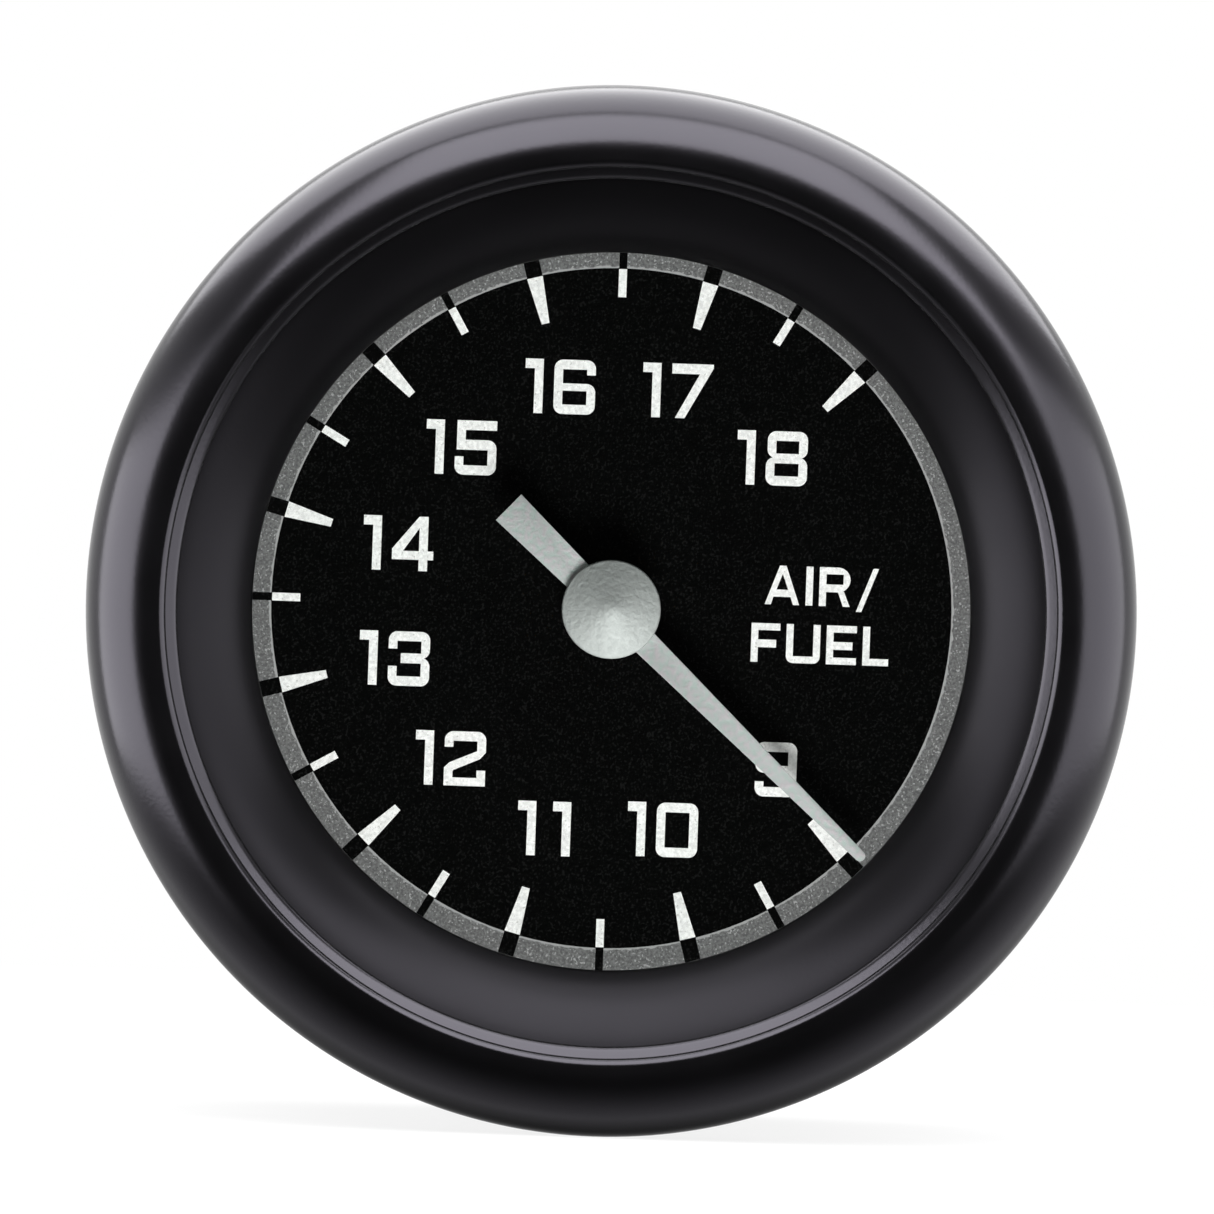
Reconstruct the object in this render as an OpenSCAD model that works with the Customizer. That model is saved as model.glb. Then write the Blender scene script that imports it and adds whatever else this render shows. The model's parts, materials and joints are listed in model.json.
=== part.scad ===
// Air fuel ratio gauge for a round dash hole, with its pointer movement,
// electronics, case, connector and rear clamp bracket.
// The gauge looks towards -Y, its dial is upright along +Z, and the origin is on
// its axis in the plane of the panel's front face.

/* [Bezel] */
// Outside diameter of the bezel
bezel_d = 60.3; // [56:0.1:66]
// Height of the bezel's crest above the panel
bezel_h = 9; // [8.6:0.1:10]
// Radius of the round at the bezel's outer edge
outer_round_r = 3.75; // [3.4:0.05:4.2]
// Flat width on top of the crest
crest_flat = 0.24; // [0.1:0.02:0.4]
// Radius of each of the two fine rounds that step down inside the crest
step_r = 0.5; // [0.35:0.05:0.6]
// Width of the narrow ledge between the two rounds
ledge_w = 0.12; // [0.06:0.02:0.3]
// Width of the funnel, from the rounds in to the opening that shows the dial
funnel_w = 4.44; // [4:0.02:5]
// Radius of the funnel's curve
funnel_curve_r = 7; // [6.6:0.1:8]
// Slope of the funnel at its outer end, in degrees
funnel_tilt = 12; // [8:1:16]
// Height of the plain riser between the funnel and the first round
riser_h = 0.1; // [0.05:0.05:0.3]
// Height of the straight edge around the opening
lip_edge_h = 0.35; // [0.2:0.05:0.6]
// Wall of the bezel outside the case flange
skirt_w = 1.8; // [1.4:0.1:2.2]

/* [Lens] */
// Thickness of the glass lens
lens_t = 1.9; // [1.5:0.1:2.2]
// How far the lens reaches under the bezel's lip
lens_overlap = 2; // [1.6:0.1:2.4]
// Thickness of the rubber seal in front of the lens
seal_t = 0.5; // [0.3:0.1:0.8]
// Width of that seal
seal_w = 1.4; // [1:0.1:1.6]
// Height of the spacer ring between the lens and the dial
spacer_h = 5; // [4.4:0.1:6]
// How far the spacer's bore stands back from the opening
spacer_setback = 0.4; // [0.2:0.05:0.8]

/* [Dial] */
// Thickness of the dial plate
dial_t = 0.8; // [0.5:0.1:1.2]
// Thickness of the printed layers
print_t = 0.05; // [0.03:0.01:0.1]
// Width of the grey outer ring that shows in the opening
chapter_show_w = 1.025; // [0.8:0.025:1.4]
// Width of the ticks at the numbers
major_w = 0.92; // [0.7:0.02:1.1]
// Width of the ticks between the numbers
minor_w = 0.46; // [0.3:0.02:0.6]
// Length of the ticks at the numbers
major_l = 2.72; // [2.2:0.02:3.2]
// Length of the ticks between the numbers
minor_l = 1.62; // [1.2:0.02:2]
// Angle that the scale covers, in degrees
sweep = 270; // [240:5:280]
// Lowest number on the dial
first_number = 9; // [9:1:9]
// Number of steps between the lowest and the highest number
number_steps = 9; // [9:1:9]

/* [Numerals] */
// Height of the numerals
numeral_h = 3.13; // [2.7:0.01:3.3]
// Width of a numeral other than 1
numeral_w = 2.38; // [2.1:0.01:2.5]
// Width of the numeral 1
one_w = 1.04; // [0.9:0.01:1.2]
// Space to the left of a numeral 1 that comes second
one_lead = 0.34; // [0.2:0.01:0.5]
// Gap between two numerals
numeral_gap = 0.63; // [0.5:0.01:0.8]
// Stroke of the upright lines
stroke_v = 0.5; // [0.42:0.01:0.56]
// Stroke of the level lines
stroke_h = 0.55; // [0.45:0.01:0.58]
// Radius of the numerals' outer corners
numeral_corner = 0.5; // [0.3:0.01:0.56]
// Space between the grey ring and the circle that the numerals' outer corners touch
numeral_inset = 4.375; // [4:0.025:5]
// Height of the letters
letter_h = 2.24; // [2:0.01:2.4]
// Stroke of the letters
letter_stroke = 0.4; // [0.32:0.01:0.46]
// Gap between letters
letter_gap = 0.365; // [0.25:0.005:0.45]
// Distance from the grey ring to the middle of the two lines of letters
legend_inset = 7.515; // [7.3:0.005:7.8]
// Distance between the two lines of letters
legend_spacing = 3.34; // [3:0.02:3.6]

/* [Pointer] */
// Space between the pointer's tip and the edge of the opening
pointer_tip_gap = 0.3; // [0.2:0.05:2.6]
// Length of the pointer's tail from the spindle
tail_l = 8.32; // [6:0.1:9]
// Width of the pointer at the hub
pointer_root_w = 1.6; // [1.3:0.05:1.9]
// Width of the pointer just behind its round tip
pointer_tip_w = 0.6; // [0.4:0.02:0.8]
// Width of the tail at the hub
tail_root_w = 1.64; // [1.4:0.02:1.9]
// Width of the tail at its end
tail_end_w = 2.07; // [1.8:0.02:2.4]
// Thickness of the pointer
pointer_t = 0.5; // [0.3:0.05:0.7]
// Height of the pointer above the dial plate
pointer_lift = 1.8; // [1.6:0.05:2.2]
// Diameter of the hub cap
hub_d = 5.68; // [5.2:0.02:6.2]
// Height of the hub cap's straight rim
hub_rim_h = 0.35; // [0.2:0.05:0.5]
// Height of the hub cap's cone above the rim
hub_cone_h = 0.9; // [0.6:0.05:1]
// Diameter of the pointer's spindle
spindle_d = 1; // [0.9:0.05:1.2]
// Running clearance around the spindle, measured on the radius
spindle_gap = 0.03; // [0.02:0.01:0.06]

/* [Movement] */
// Diameter of the magnet on the spindle
rotor_d = 9.6; // [9:0.1:10]
// Thickness of the magnet
rotor_t = 3.6; // [3:0.1:4]
// Clearance between the magnet and its chamber
rotor_gap = 0.6; // [0.4:0.05:0.8]
// Height of the magnet's chamber
chamber_h = 6; // [5.8:0.1:6.6]
// Wall of the bobbin around the chamber
bobbin_wall = 1; // [0.8:0.05:1.2]
// Thickness of the bobbin's ends
bobbin_end_t = 2.5; // [2.3:0.1:3]
// Width of each winding
coil_w = 3; // [2.4:0.1:3.1]
// Thickness of each winding
coil_t = 1.2; // [0.9:0.05:1.25]
// Wall of the shield can
can_t = 0.6; // [0.4:0.05:0.8]
// Width of the stop arm on the spindle
stop_arm_w = 1; // [0.8:0.05:1.2]

/* [Electronics] */
// Thickness of the two circuit boards
board_t = 1.6; // [1.2:0.1:2]
// Thickness of the light guide behind the dial
guide_t = 2; // [1.5:0.1:2.5]
// Height of the reflector's base between the board and the light guide
reflector_h = 2.5; // [2:0.1:3.5]
// Wall of the reflector's outer rim
reflector_wall = 1; // [0.8:0.05:1.2]
// Number of lamps
lamp_count = 6; // [6:1:6]
// Height of the posts that carry the rear board
standoff_h = 4.4; // [4:0.1:6]

/* [Case] */
// How far the bezel stands out beyond the barrel behind the panel
bezel_overhang = 3.55; // [3.1:0.05:4]
// Wall of the case
case_wall = 1.2; // [1:0.05:1.3]
// Thickness of the case's rear wall
case_base_t = 1.8; // [1.4:0.1:2.6]
// Thickness of the flange that sits behind the bezel
flange_t = 1.6; // [1.2:0.1:2]
// Thickness of the rubber gasket against the panel
gasket_t = 0.8; // [0.5:0.1:1.2]

/* [Connector] */
// Outside width of the connector's shroud
shroud_w = 14.4; // [13.6:0.1:15]
// Outside height of the shroud
shroud_h = 9.2; // [8.6:0.1:9.6]
// Wall of the shroud
shroud_wall = 1.2; // [1:0.05:1.3]
// How far the shroud stands out behind the case
shroud_l = 10; // [9:0.1:12]
// Distance from the barrel's top down to the connector's top
connector_inset = 7.4; // [6.6:0.1:8]
// Width of a square pin
pin_w = 0.64; // [0.6:0.01:0.68]
// Gap between neighbouring pins
pin_gap = 1.9; // [1.86:0.01:1.94]
// Depth of the pin tips inside the shroud's mouth
pin_setback = 5; // [4.6:0.1:5.6]

/* [Clamp] */
// Thickness of the panel that is clamped at rest
panel_t = 4.5; // [4.2:0.1:6]
// Space between the case and the bracket's strip behind it
clamp_back_gap = 5.43; // [5:0.01:7]
// Space between the bracket's strip and the connector, for the plug
plug_space = 2; // [1.8:0.1:3]
// Thickness of the bracket's strip
clamp_t = 1.5; // [1.2:0.1:1.6]
// Outside radius of the bracket's two bends
clamp_bend_r = 3; // [2:0.1:4]
// Space between the barrel and each of the bracket's legs
clamp_side_gap = 0.9; // [0.7:0.05:1.1]
// Diameter of the mounting studs
stud_d = 4; // [3.6:0.1:4.4]
// Length of the studs behind the case
stud_l = 19.5; // [19:0.5:24]
// Distance from the case's inner wall to the middle of each stud
stud_inset = 9.4; // [9:0.1:10]
// Diameter of the thumb nuts
nut_d = 11; // [9:0.1:12]
// Height of the thumb nuts
nut_h = 5; // [4:0.1:6]
// Thickness of the lock washers
washer_t = 0.8; // [0.5:0.1:1]

/* [Hidden] */
$fn = 96;

// How far cuts run past what they cut, and joined shapes run into each other
overrun = 0.5;
overlap = 0.05;
// Clearances for a seated piece, a loose piece and a free space
close_gap = 0.05;
loose_gap = 0.2;
free_gap = 0.35;

// Bezel, worked out from the front inwards
bezel_r = bezel_d / 2;
crest_r = bezel_r - outer_round_r;
funnel_r = crest_r - crest_flat - 2 * step_r - ledge_w;
aperture_r = funnel_r - funnel_w;
step_z = bezel_h - 2 * step_r;
funnel_z = step_z - riser_h;
funnel_centre_r = funnel_r + funnel_curve_r * sin(funnel_tilt);
funnel_centre_z = funnel_z - funnel_curve_r * cos(funnel_tilt);
funnel_end_tilt = asin((funnel_centre_r - aperture_r) / funnel_curve_r);
lip_z = funnel_centre_z + funnel_curve_r * cos(funnel_end_tilt) - lip_edge_h;

// Case and gasket
case_r = bezel_r - bezel_overhang;
case_in_r = case_r - case_wall;
flange_pocket_r = bezel_r - skirt_w;
flange_r = flange_pocket_r - close_gap;
seat_z = gasket_t + flange_t;
gasket_inset = 0.5;
gasket_in_r = case_r + free_gap;
gasket_out_r = bezel_r - gasket_inset;

// Lens and dial
lens_r = aperture_r + lens_overlap;
lens_front_z = lip_z - seal_t;
lens_back_z = lens_front_z - lens_t;
spacer_in_r = aperture_r + spacer_setback;
dial_z = lens_back_z - spacer_h;
dial_back_z = dial_z - dial_t;
reflector_r = case_in_r - 2 * loose_gap;
dial_r = reflector_r - reflector_wall - loose_gap / 2;
dial_hole_gap = 0.85;
dial_hole_r = spindle_d / 2 + dial_hole_gap;
chapter_in_r = aperture_r - chapter_show_w;
chapter_out_r = spacer_in_r - close_gap;
tick_count = 2 * number_steps;
// Angle of the lowest number, with the scale's middle straight to the left
scale_start = sweep / 2 - 180;
numeral_reach = chapter_in_r - numeral_inset;
legend_x = chapter_in_r - legend_inset;

// Shares of a numeral's height or width, measured up from the foot or from the left
bowl_top_share = 0.565;
bowl_bar_share = 0.43;
hook_share = 0.655;
five_bowl_share = 0.645;
five_bar_share = 0.46;
five_hook_share = 0.335;
five_stem_share = 0.04;
three_bar_low_share = 0.418;
three_bar_high_share = 0.6;
three_hook_low_share = 0.36;
three_hook_high_share = 0.68;
three_bar_left_share = 0.3;
waist_share = 0.52;
waist_bar_low_share = 0.41;
waist_bar_high_share = 0.59;
upper_inset_share = 0.03;
two_foot_share = 0.15;
two_hook_share = 0.29;
two_top_hook_share = 0.71;
two_side_share = 0.62;
two_diagonal_shares = [
    [1, 0.62], [0.86, 0.5], [0.235, 0.29], [0.1, 0.2], [0, 0.2], [0, 0.33],
    [0.125, 0.425], [0.79, 0.645], [0.9, 0.75], [1, 0.75]
];
four_shares = [
    [0.64, 1], [0.86, 1], [0.86, 0.365], [1, 0.365], [1, 0.205], [0.86, 0.205],
    [0.86, 0], [0.65, 0], [0.65, 0.205], [0, 0.205], [0, 0.4]
];
four_window_shares = [[0.65, 0.79], [0.65, 0.365], [0.265, 0.365]];
seven_shares = [
    [0, 1], [1, 1], [1, 0.93], [0.33, 0], [0.1, 0], [0.67, 0.815], [0, 0.815]
];

// Shares of a letter's width and height
a_shares = [
    [0, 0], [0.41, 1], [0.6, 1], [1, 0], [0.82, 0], [0.745, 0.2], [0.25, 0.2],
    [0.18, 0]
];
a_window_shares = [[0.5, 0.79], [0.33, 0.385], [0.67, 0.385]];
r_leg_shares = [[0.59, 0.4], [0.79, 0.4], [1, 0], [0.78, 0]];
slash_shares = [[0, -0.12], [0.25, -0.12], [1, 1], [0.75, 1]];
r_bowl_share = 0.362;
r_bar_share = 0.56;
bar_low_share = 0.38;
bar_high_share = 0.58;
bar_length_share = 0.87;
letter_corner_share = 0.5;
// Widths of the letters, as shares of their height
a_width_share = 0.885;
i_width_share = letter_stroke / letter_h;
r_width_share = 0.795;
slash_width_share = 0.56;
f_width_share = 0.74;
u_width_share = 0.87;
e_width_share = 0.77;
l_width_share = 0.665;
line_one = [
    ["A", a_width_share], ["I", i_width_share], ["R", r_width_share],
    ["/", slash_width_share]
];
line_two = [
    ["F", f_width_share], ["U", u_width_share], ["E", e_width_share],
    ["L", l_width_share]
];

// Pointer
pointer_l = aperture_r - pointer_tip_gap;
pointer_z = dial_z + pointer_lift;
pointer_top_z = pointer_z + pointer_t;
hub_r = hub_d / 2;
hub_tip_r = 0.3;
spindle_r = spindle_d / 2;
collet_neck_r = spindle_d;
collet_foot_r = hub_r - free_gap;
collet_rise = hub_rim_h + hub_cone_h / 2;
collet_lift = 0.5;
collet_foot_z = dial_z + print_t + collet_lift;
spindle_top_z = pointer_top_z + collet_rise - loose_gap;

// Stack behind the dial
guide_z = dial_back_z - guide_t;
board_z = guide_z - reflector_h;
board_back_z = board_z - board_t;
reflector_base_w = 2.6;
reflector_tube_r = 4.6;
reflector_tube_wall = 1.2;
reflector_spoke_w = 1.2;
board_r = reflector_r - close_gap;
peg_r = 0.9;
peg_circle_r = reflector_r - reflector_base_w / 2;
guide_hole_r = reflector_tube_r - reflector_tube_wall;
lamp_l = 3.2;
lamp_w = 2.8;
lamp_h = 1.2;
lamp_window_r = 1.1;
lamp_window_h = 0.15;
lamp_circle_r = (reflector_r - reflector_base_w + reflector_tube_r) / 2;

// Movement, centred on the magnet
rotor_r = rotor_d / 2;
chamber_r = rotor_r + rotor_gap;
bobbin_r = chamber_r + bobbin_wall;
bobbin_half = chamber_h / 2 + bobbin_end_t;
nose_r = spindle_r + spindle_d;
coil_start = nose_r + loose_gap;
coil_gap = 0.1;
inner_reach = bobbin_r + coil_gap;
inner_half = bobbin_half + coil_gap;
outer_half = inner_half + coil_t + coil_gap;
coil_corner_r = norm([coil_start + coil_w, inner_reach + coil_t]);
can_in_r = coil_corner_r + free_gap;
can_r = can_in_r + can_t;
can_front_gap = 0.9;
can_end_gap = 0.5;
move_z = board_back_z - can_front_gap - outer_half - coil_t;
can_floor_z = move_z - outer_half - coil_t - can_end_gap;
post_r = 0.7;
post_circle_r = can_in_r - post_r - close_gap;
post_web_w = 1.1;
bearing_r = spindle_d;
bearing_l = 2.5;
nose_rise = 0.5;
nose_top_z = board_z + nose_rise;
nose_board_gap = 0.25;
jewel_r = 1.3;
jewel_t = 1.5;
pivot_depth = 0.9;
coil_pin_r = 0.35;
coil_pin_rise = 1;
coil_pin_sink = 2;
stop_gap = 0.25;
stop_arm_t = 0.6;
stop_arm_z = move_z + chamber_h / 2 - stop_gap - stop_arm_t;
stop_arm_l = chamber_r - 2 * rotor_gap;
stop_block_in_r = 3;
stop_margin = 6;
stop_arm_half = asin(stop_arm_w / 2 / stop_block_in_r);
stop_block_span = 360 - sweep - 2 * (stop_arm_half + stop_margin);

// Rear board and the case behind it
can_rear_gap = 0.75;
controller_z = can_floor_z - can_t - can_rear_gap;
controller_back_z = controller_z - board_t;
case_floor_z = controller_back_z - standoff_h;
case_back_z = case_floor_z - case_base_t;
rib_in_r = case_in_r - 1.5 * case_wall;
rib_w = 4;
controller_r = rib_in_r - 4 * loose_gap;
standoff_inset = 4.3;
standoff_circle_r = controller_r - standoff_inset;
standoff_r = 2.6;
standoff_angles = [30, 150, 225, 315];
screw_r = 1.1;
screw_head_r = 2;
screw_head_h = 1.3;
screw_end_gap = 0.5;
header_inset = 5.3;
header_y = header_inset - controller_r;
header_pins = 6;
header_block_w = 2.5;
header_block_h = 2.5;

// Chips on the boards: the middle's place, then width and height, as shares of the
// board's radius
main_chip_shares = [
    [0, 0.68, 0.41, 0.3], [-0.7, 0.14, 0.24, 0.26], [0.69, -0.16, 0.2, 0.16]
];
main_chip_t = 2;
rear_chip_shares = [[0.68, -0.09, 0.3, 0.3], [-0.2, 0.66, 0.22, 0.18]];
rear_chip_t = 1.2;
capacitor_r = 3.15;
capacitor_h = 7.2;
capacitor_gap = 2.9;
capacitor_angle = 200;

// Connector
connector_gap = loose_gap;
connector_y = case_r - connector_inset - shroud_h / 2;
shroud_corner_r = 1.6;
shroud_mouth_z = case_back_z - shroud_l;
shroud_floor_z = case_back_z - 1.5 * shroud_wall;
pin_tip_z = shroud_mouth_z + pin_setback;
pin_spacing = pin_w + pin_gap;
pin_columns = 4;
pin_rows = 2;
latch_w = 3.4;
latch_h = 1;
latch_l = 1.6;

// Clamp
stud_r = stud_d / 2;
stud_x = case_in_r - stud_inset;
stud_head_rim = 1.4;
stud_head_r = stud_r + stud_head_rim;
stud_head_h = 1.5;
clamp_in_x = case_r + clamp_side_gap;
clamp_out_x = clamp_in_x + clamp_t;
clamp_w = 2 * (connector_y - shroud_h / 2 - plug_space);
clamp_back_z = case_back_z - clamp_back_gap - clamp_t;
washer_back_z = clamp_back_z - washer_t;
washer_rim = 2.2;
washer_r = stud_r + washer_rim;
nut_shoulder = 1.3;
nut_collar_r = nut_d / 2 - nut_shoulder;
nut_collar_h = 1;
nut_chamfer = 0.5;

// Turns a piece drawn with its front along +Z so that the front looks towards -Y
module facing_front() {
    rotate([90, 0, 0]) children();
}

module raise(z) {
    translate([0, 0, z]) children();
}

// A ring or washer that stands on its own z
module ring(outer_r, inner_r, h) {
    difference() {
        cylinder(r = outer_r, h = h);
        raise(-overrun) cylinder(r = inner_r, h = h + 2 * overrun);
    }
}

// A flat rectangle between two corners
module slab(x0, y0, x1, y1) {
    translate([x0, y0]) square([x1 - x0, y1 - y0]);
}

// What is cut away to round a lower left corner
module corner_waste(r) {
    difference() {
        translate([-overrun, -overrun]) square(r + overrun);
        translate([r, r]) circle(r);
    }
}

// A rectangle whose corners are rounded where round is 1: lower left, lower right,
// upper right and upper left
module rounded(w, h, r, round = [1, 1, 1, 1]) {
    difference() {
        square([w, h]);
        if (round[0] == 1) corner_waste(r);
        if (round[1] == 1) translate([w, 0]) rotate(90) corner_waste(r);
        if (round[2] == 1) translate([w, h]) rotate(180) corner_waste(r);
        if (round[3] == 1) translate([0, h]) rotate(270) corner_waste(r);
    }
}

// A polygon given in shares of a width and a height
module outline(shares, w, h) {
    polygon([for (p = shares) [p[0] * w, p[1] * h]]);
}

// Half section of the bezel, radius to the right and front upwards
module bezel_section() {
    difference() {
        intersection() {
            translate([funnel_centre_r, funnel_centre_z]) circle(funnel_curve_r);
            slab(aperture_r, seat_z, funnel_r + overlap, bezel_h);
        }
        slab(0, -overrun, lens_r + loose_gap, lip_z);
    }
    slab(funnel_r, seat_z, crest_r, step_z);
    slab(funnel_r + step_r, seat_z, crest_r, step_z + step_r);
    slab(crest_r - crest_flat, seat_z, crest_r, bezel_h);
    translate([funnel_r + step_r, step_z]) circle(step_r);
    translate([crest_r - crest_flat, step_z + step_r]) circle(step_r);
    translate([crest_r, bezel_h - outer_round_r])
        intersection() {
            circle(outer_round_r);
            square(outer_round_r);
        }
    slab(crest_r - overlap, seat_z, bezel_r, bezel_h - outer_round_r);
    slab(flange_pocket_r, gasket_t, bezel_r, seat_z + overlap);
}

module bezel() {
    color("#17161a") facing_front() rotate_extrude() bezel_section();
}

module bezel_gasket() {
    color("#202022") facing_front() ring(gasket_out_r, gasket_in_r, gasket_t);
}

module lens() {
    color([0.8, 0.9, 1, 0.3]) facing_front()
        raise(lens_back_z) cylinder(r = lens_r, h = lens_t);
}

module lens_seal() {
    color("#101010") facing_front()
        raise(lens_front_z) ring(lens_r, lens_r - seal_w, seal_t);
}

module spacer_ring() {
    color("#141414") facing_front()
        raise(dial_z) ring(lens_r, spacer_in_r, spacer_h);
}

module dial_plate() {
    color("#0b0b0b") facing_front()
        raise(dial_back_z) ring(dial_r, dial_hole_r, dial_t);
}

// Angle of a tick, counted clockwise from the lowest number
function tick_angle(i) = scale_start - i * sweep / tick_count;

module chapter_ring() {
    color("#7a7a7a") facing_front() raise(dial_z) difference() {
        ring(chapter_out_r, chapter_in_r, print_t);
        for (i = [0:tick_count]) {
            w = i % 2 == 0 ? major_w : minor_w;
            rotate(tick_angle(i)) translate([chapter_in_r - overrun, -w / 2, -print_t])
                cube([chapter_out_r - chapter_in_r + 2 * overrun, w, 3 * print_t]);
        }
    }
}

// A tick that starts close to the grey ring and narrows towards the centre
module tick(l, outer_w, inner_w) {
    start = chapter_in_r - close_gap;
    linear_extrude(print_t) polygon([
        [start, -outer_w / 2], [start, outer_w / 2],
        [start - l, inner_w / 2], [start - l, -inner_w / 2]
    ]);
}

module major_ticks() {
    color("#e6e6e6") facing_front() raise(dial_z)
        for (i = [0:2:tick_count]) rotate(tick_angle(i)) tick(major_l, major_w, major_w / 2);
}

module minor_ticks() {
    color("#e6e6e6") facing_front() raise(dial_z)
        for (i = [1:2:tick_count]) rotate(tick_angle(i)) tick(minor_l, minor_w, minor_w);
}

module digit_zero() {
    difference() {
        rounded(numeral_w, numeral_h, numeral_corner);
        slab(stroke_v, stroke_h, numeral_w - stroke_v, numeral_h - stroke_h);
    }
}

module digit_one() {
    slab(one_w - stroke_v, 0, one_w, numeral_h);
    slab(0, numeral_h - stroke_h, one_w, numeral_h);
}

module digit_two() {
    right = numeral_w - stroke_v;
    translate([0, numeral_h - stroke_h])
        rounded(numeral_w, stroke_h, numeral_corner, [0, 0, 1, 1]);
    slab(0, two_top_hook_share * numeral_h, stroke_v, numeral_h - numeral_corner);
    slab(right, two_side_share * numeral_h, numeral_w, numeral_h - numeral_corner);
    outline(two_diagonal_shares, numeral_w, numeral_h);
    slab(0, 0, stroke_v, two_hook_share * numeral_h);
    slab(0, 0, numeral_w, two_foot_share * numeral_h);
    slab(right, 0, numeral_w, two_hook_share * numeral_h);
}

module digit_three() {
    low = three_bar_low_share * numeral_h;
    high = three_bar_high_share * numeral_h;
    right = numeral_w - stroke_v;
    difference() {
        union() {
            rounded(numeral_w, waist_share * numeral_h, numeral_corner);
            translate([0, waist_share * numeral_h - overlap])
                rounded(numeral_w, numeral_h * (1 - waist_share) + overlap, numeral_corner);
        }
        slab(stroke_v, stroke_h, right, low);
        slab(stroke_v, high, right, numeral_h - stroke_h);
        slab(-overrun, low - overlap, three_bar_left_share * numeral_w, high + overlap);
        slab(-overrun, three_hook_low_share * numeral_h, stroke_v + overlap,
            three_hook_high_share * numeral_h);
    }
}

module digit_four() {
    difference() {
        outline(four_shares, numeral_w, numeral_h);
        outline(four_window_shares, numeral_w, numeral_h);
    }
}

module digit_five() {
    stem = five_stem_share * numeral_w;
    bar = five_bar_share * numeral_h;
    difference() {
        rounded(numeral_w, five_bowl_share * numeral_h, numeral_corner, [1, 1, 1, 0]);
        slab(stroke_v, stroke_h, numeral_w - stroke_v, bar);
        slab(-overrun, five_hook_share * numeral_h, stroke_v + overlap, bar);
        slab(-overrun, bar - overlap, stem, numeral_h);
    }
    slab(stem, bar, stem + stroke_v, numeral_h);
    slab(stem, numeral_h - stroke_h, numeral_w, numeral_h);
}

module digit_six() {
    right = numeral_w - stroke_v;
    difference() {
        rounded(numeral_w, numeral_h, numeral_corner);
        slab(stroke_v, stroke_h, right, bowl_bar_share * numeral_h);
        slab(stroke_v, bowl_top_share * numeral_h, right, numeral_h - stroke_h);
        slab(right - overlap, bowl_top_share * numeral_h, numeral_w + overrun,
            hook_share * numeral_h);
        translate([numeral_w, bowl_top_share * numeral_h]) rotate(180)
            corner_waste(numeral_corner);
    }
}

module digit_seven() {
    outline(seven_shares, numeral_w, numeral_h);
}

module digit_eight() {
    waist = waist_share * numeral_h;
    inset = upper_inset_share * numeral_w;
    difference() {
        union() {
            rounded(numeral_w, waist, numeral_corner);
            translate([inset, waist - overlap])
                rounded(numeral_w - inset, numeral_h - waist + overlap, numeral_corner);
        }
        slab(stroke_v, stroke_h, numeral_w - stroke_v, waist_bar_low_share * numeral_h);
        slab(stroke_v + inset, waist_bar_high_share * numeral_h, numeral_w - stroke_v,
            numeral_h - stroke_h);
    }
}

module digit_nine() {
    translate([numeral_w, numeral_h]) rotate(180) digit_six();
}

module digit(n) {
    if (n == 0) digit_zero();
    if (n == 1) digit_one();
    if (n == 2) digit_two();
    if (n == 3) digit_three();
    if (n == 4) digit_four();
    if (n == 5) digit_five();
    if (n == 6) digit_six();
    if (n == 7) digit_seven();
    if (n == 8) digit_eight();
    if (n == 9) digit_nine();
}

// Width of a number's second place, and of the whole number with its 1 in front
function last_w(n) = n % 10 == 1 ? one_lead + one_w : numeral_w;
function number_w(n) = one_w + numeral_gap + last_w(n);

// Distance from the dial's centre to a number's middle, with its outer corner on the
// circle of numeral_reach
function number_place(n, angle) =
    let (half_w = number_w(n) / 2, half_h = numeral_h / 2,
        lean = half_w * abs(cos(angle)) + half_h * abs(sin(angle)))
    sqrt(lean * lean + numeral_reach * numeral_reach - half_w * half_w - half_h * half_h)
        - lean;

module number(n) {
    translate([-number_w(n) / 2, -numeral_h / 2]) {
        if (n > 9) digit_one();
        translate([one_w + numeral_gap + (n % 10 == 1 ? one_lead : 0), 0]) digit(n % 10);
    }
}

module numerals() {
    color("#e6e6e6") facing_front() raise(dial_z) linear_extrude(print_t)
        for (i = [0:number_steps]) {
            n = first_number + i;
            angle = tick_angle(2 * i);
            place = number_place(n, angle);
            translate([place * cos(angle), place * sin(angle)]) number(n);
        }
}

module letter_a(w) {
    difference() {
        outline(a_shares, w, letter_h);
        outline(a_window_shares, w, letter_h);
    }
}

module letter_r(w) {
    bowl = r_bowl_share * letter_h;
    slab(0, 0, letter_stroke, letter_h);
    translate([0, bowl]) difference() {
        rounded(w, letter_h - bowl, letter_corner_share * (letter_h - bowl), [0, 1, 1, 0]);
        slab(letter_stroke, r_bar_share * letter_h - bowl, w - letter_stroke,
            letter_h - bowl - letter_stroke);
    }
    outline(r_leg_shares, w, letter_h);
}

module letter_f(w) {
    slab(0, 0, letter_stroke, letter_h);
    slab(0, letter_h - letter_stroke, w, letter_h);
    slab(0, bar_low_share * letter_h, bar_length_share * w, bar_high_share * letter_h);
}

module letter_u(w) {
    difference() {
        rounded(w, letter_h, letter_stroke, [1, 1, 0, 0]);
        slab(letter_stroke, letter_stroke, w - letter_stroke, letter_h + overrun);
    }
}

module letter_e(w) {
    letter_f(w);
    slab(0, 0, w, letter_stroke);
}

module letter_l(w) {
    slab(0, 0, letter_stroke, letter_h);
    slab(0, 0, w, letter_stroke);
}

module letter(name, w) {
    if (name == "A") letter_a(w);
    if (name == "I") slab(0, 0, w, letter_h);
    if (name == "R") letter_r(w);
    if (name == "/") outline(slash_shares, w, letter_h);
    if (name == "F") letter_f(w);
    if (name == "U") letter_u(w);
    if (name == "E") letter_e(w);
    if (name == "L") letter_l(w);
}

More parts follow.
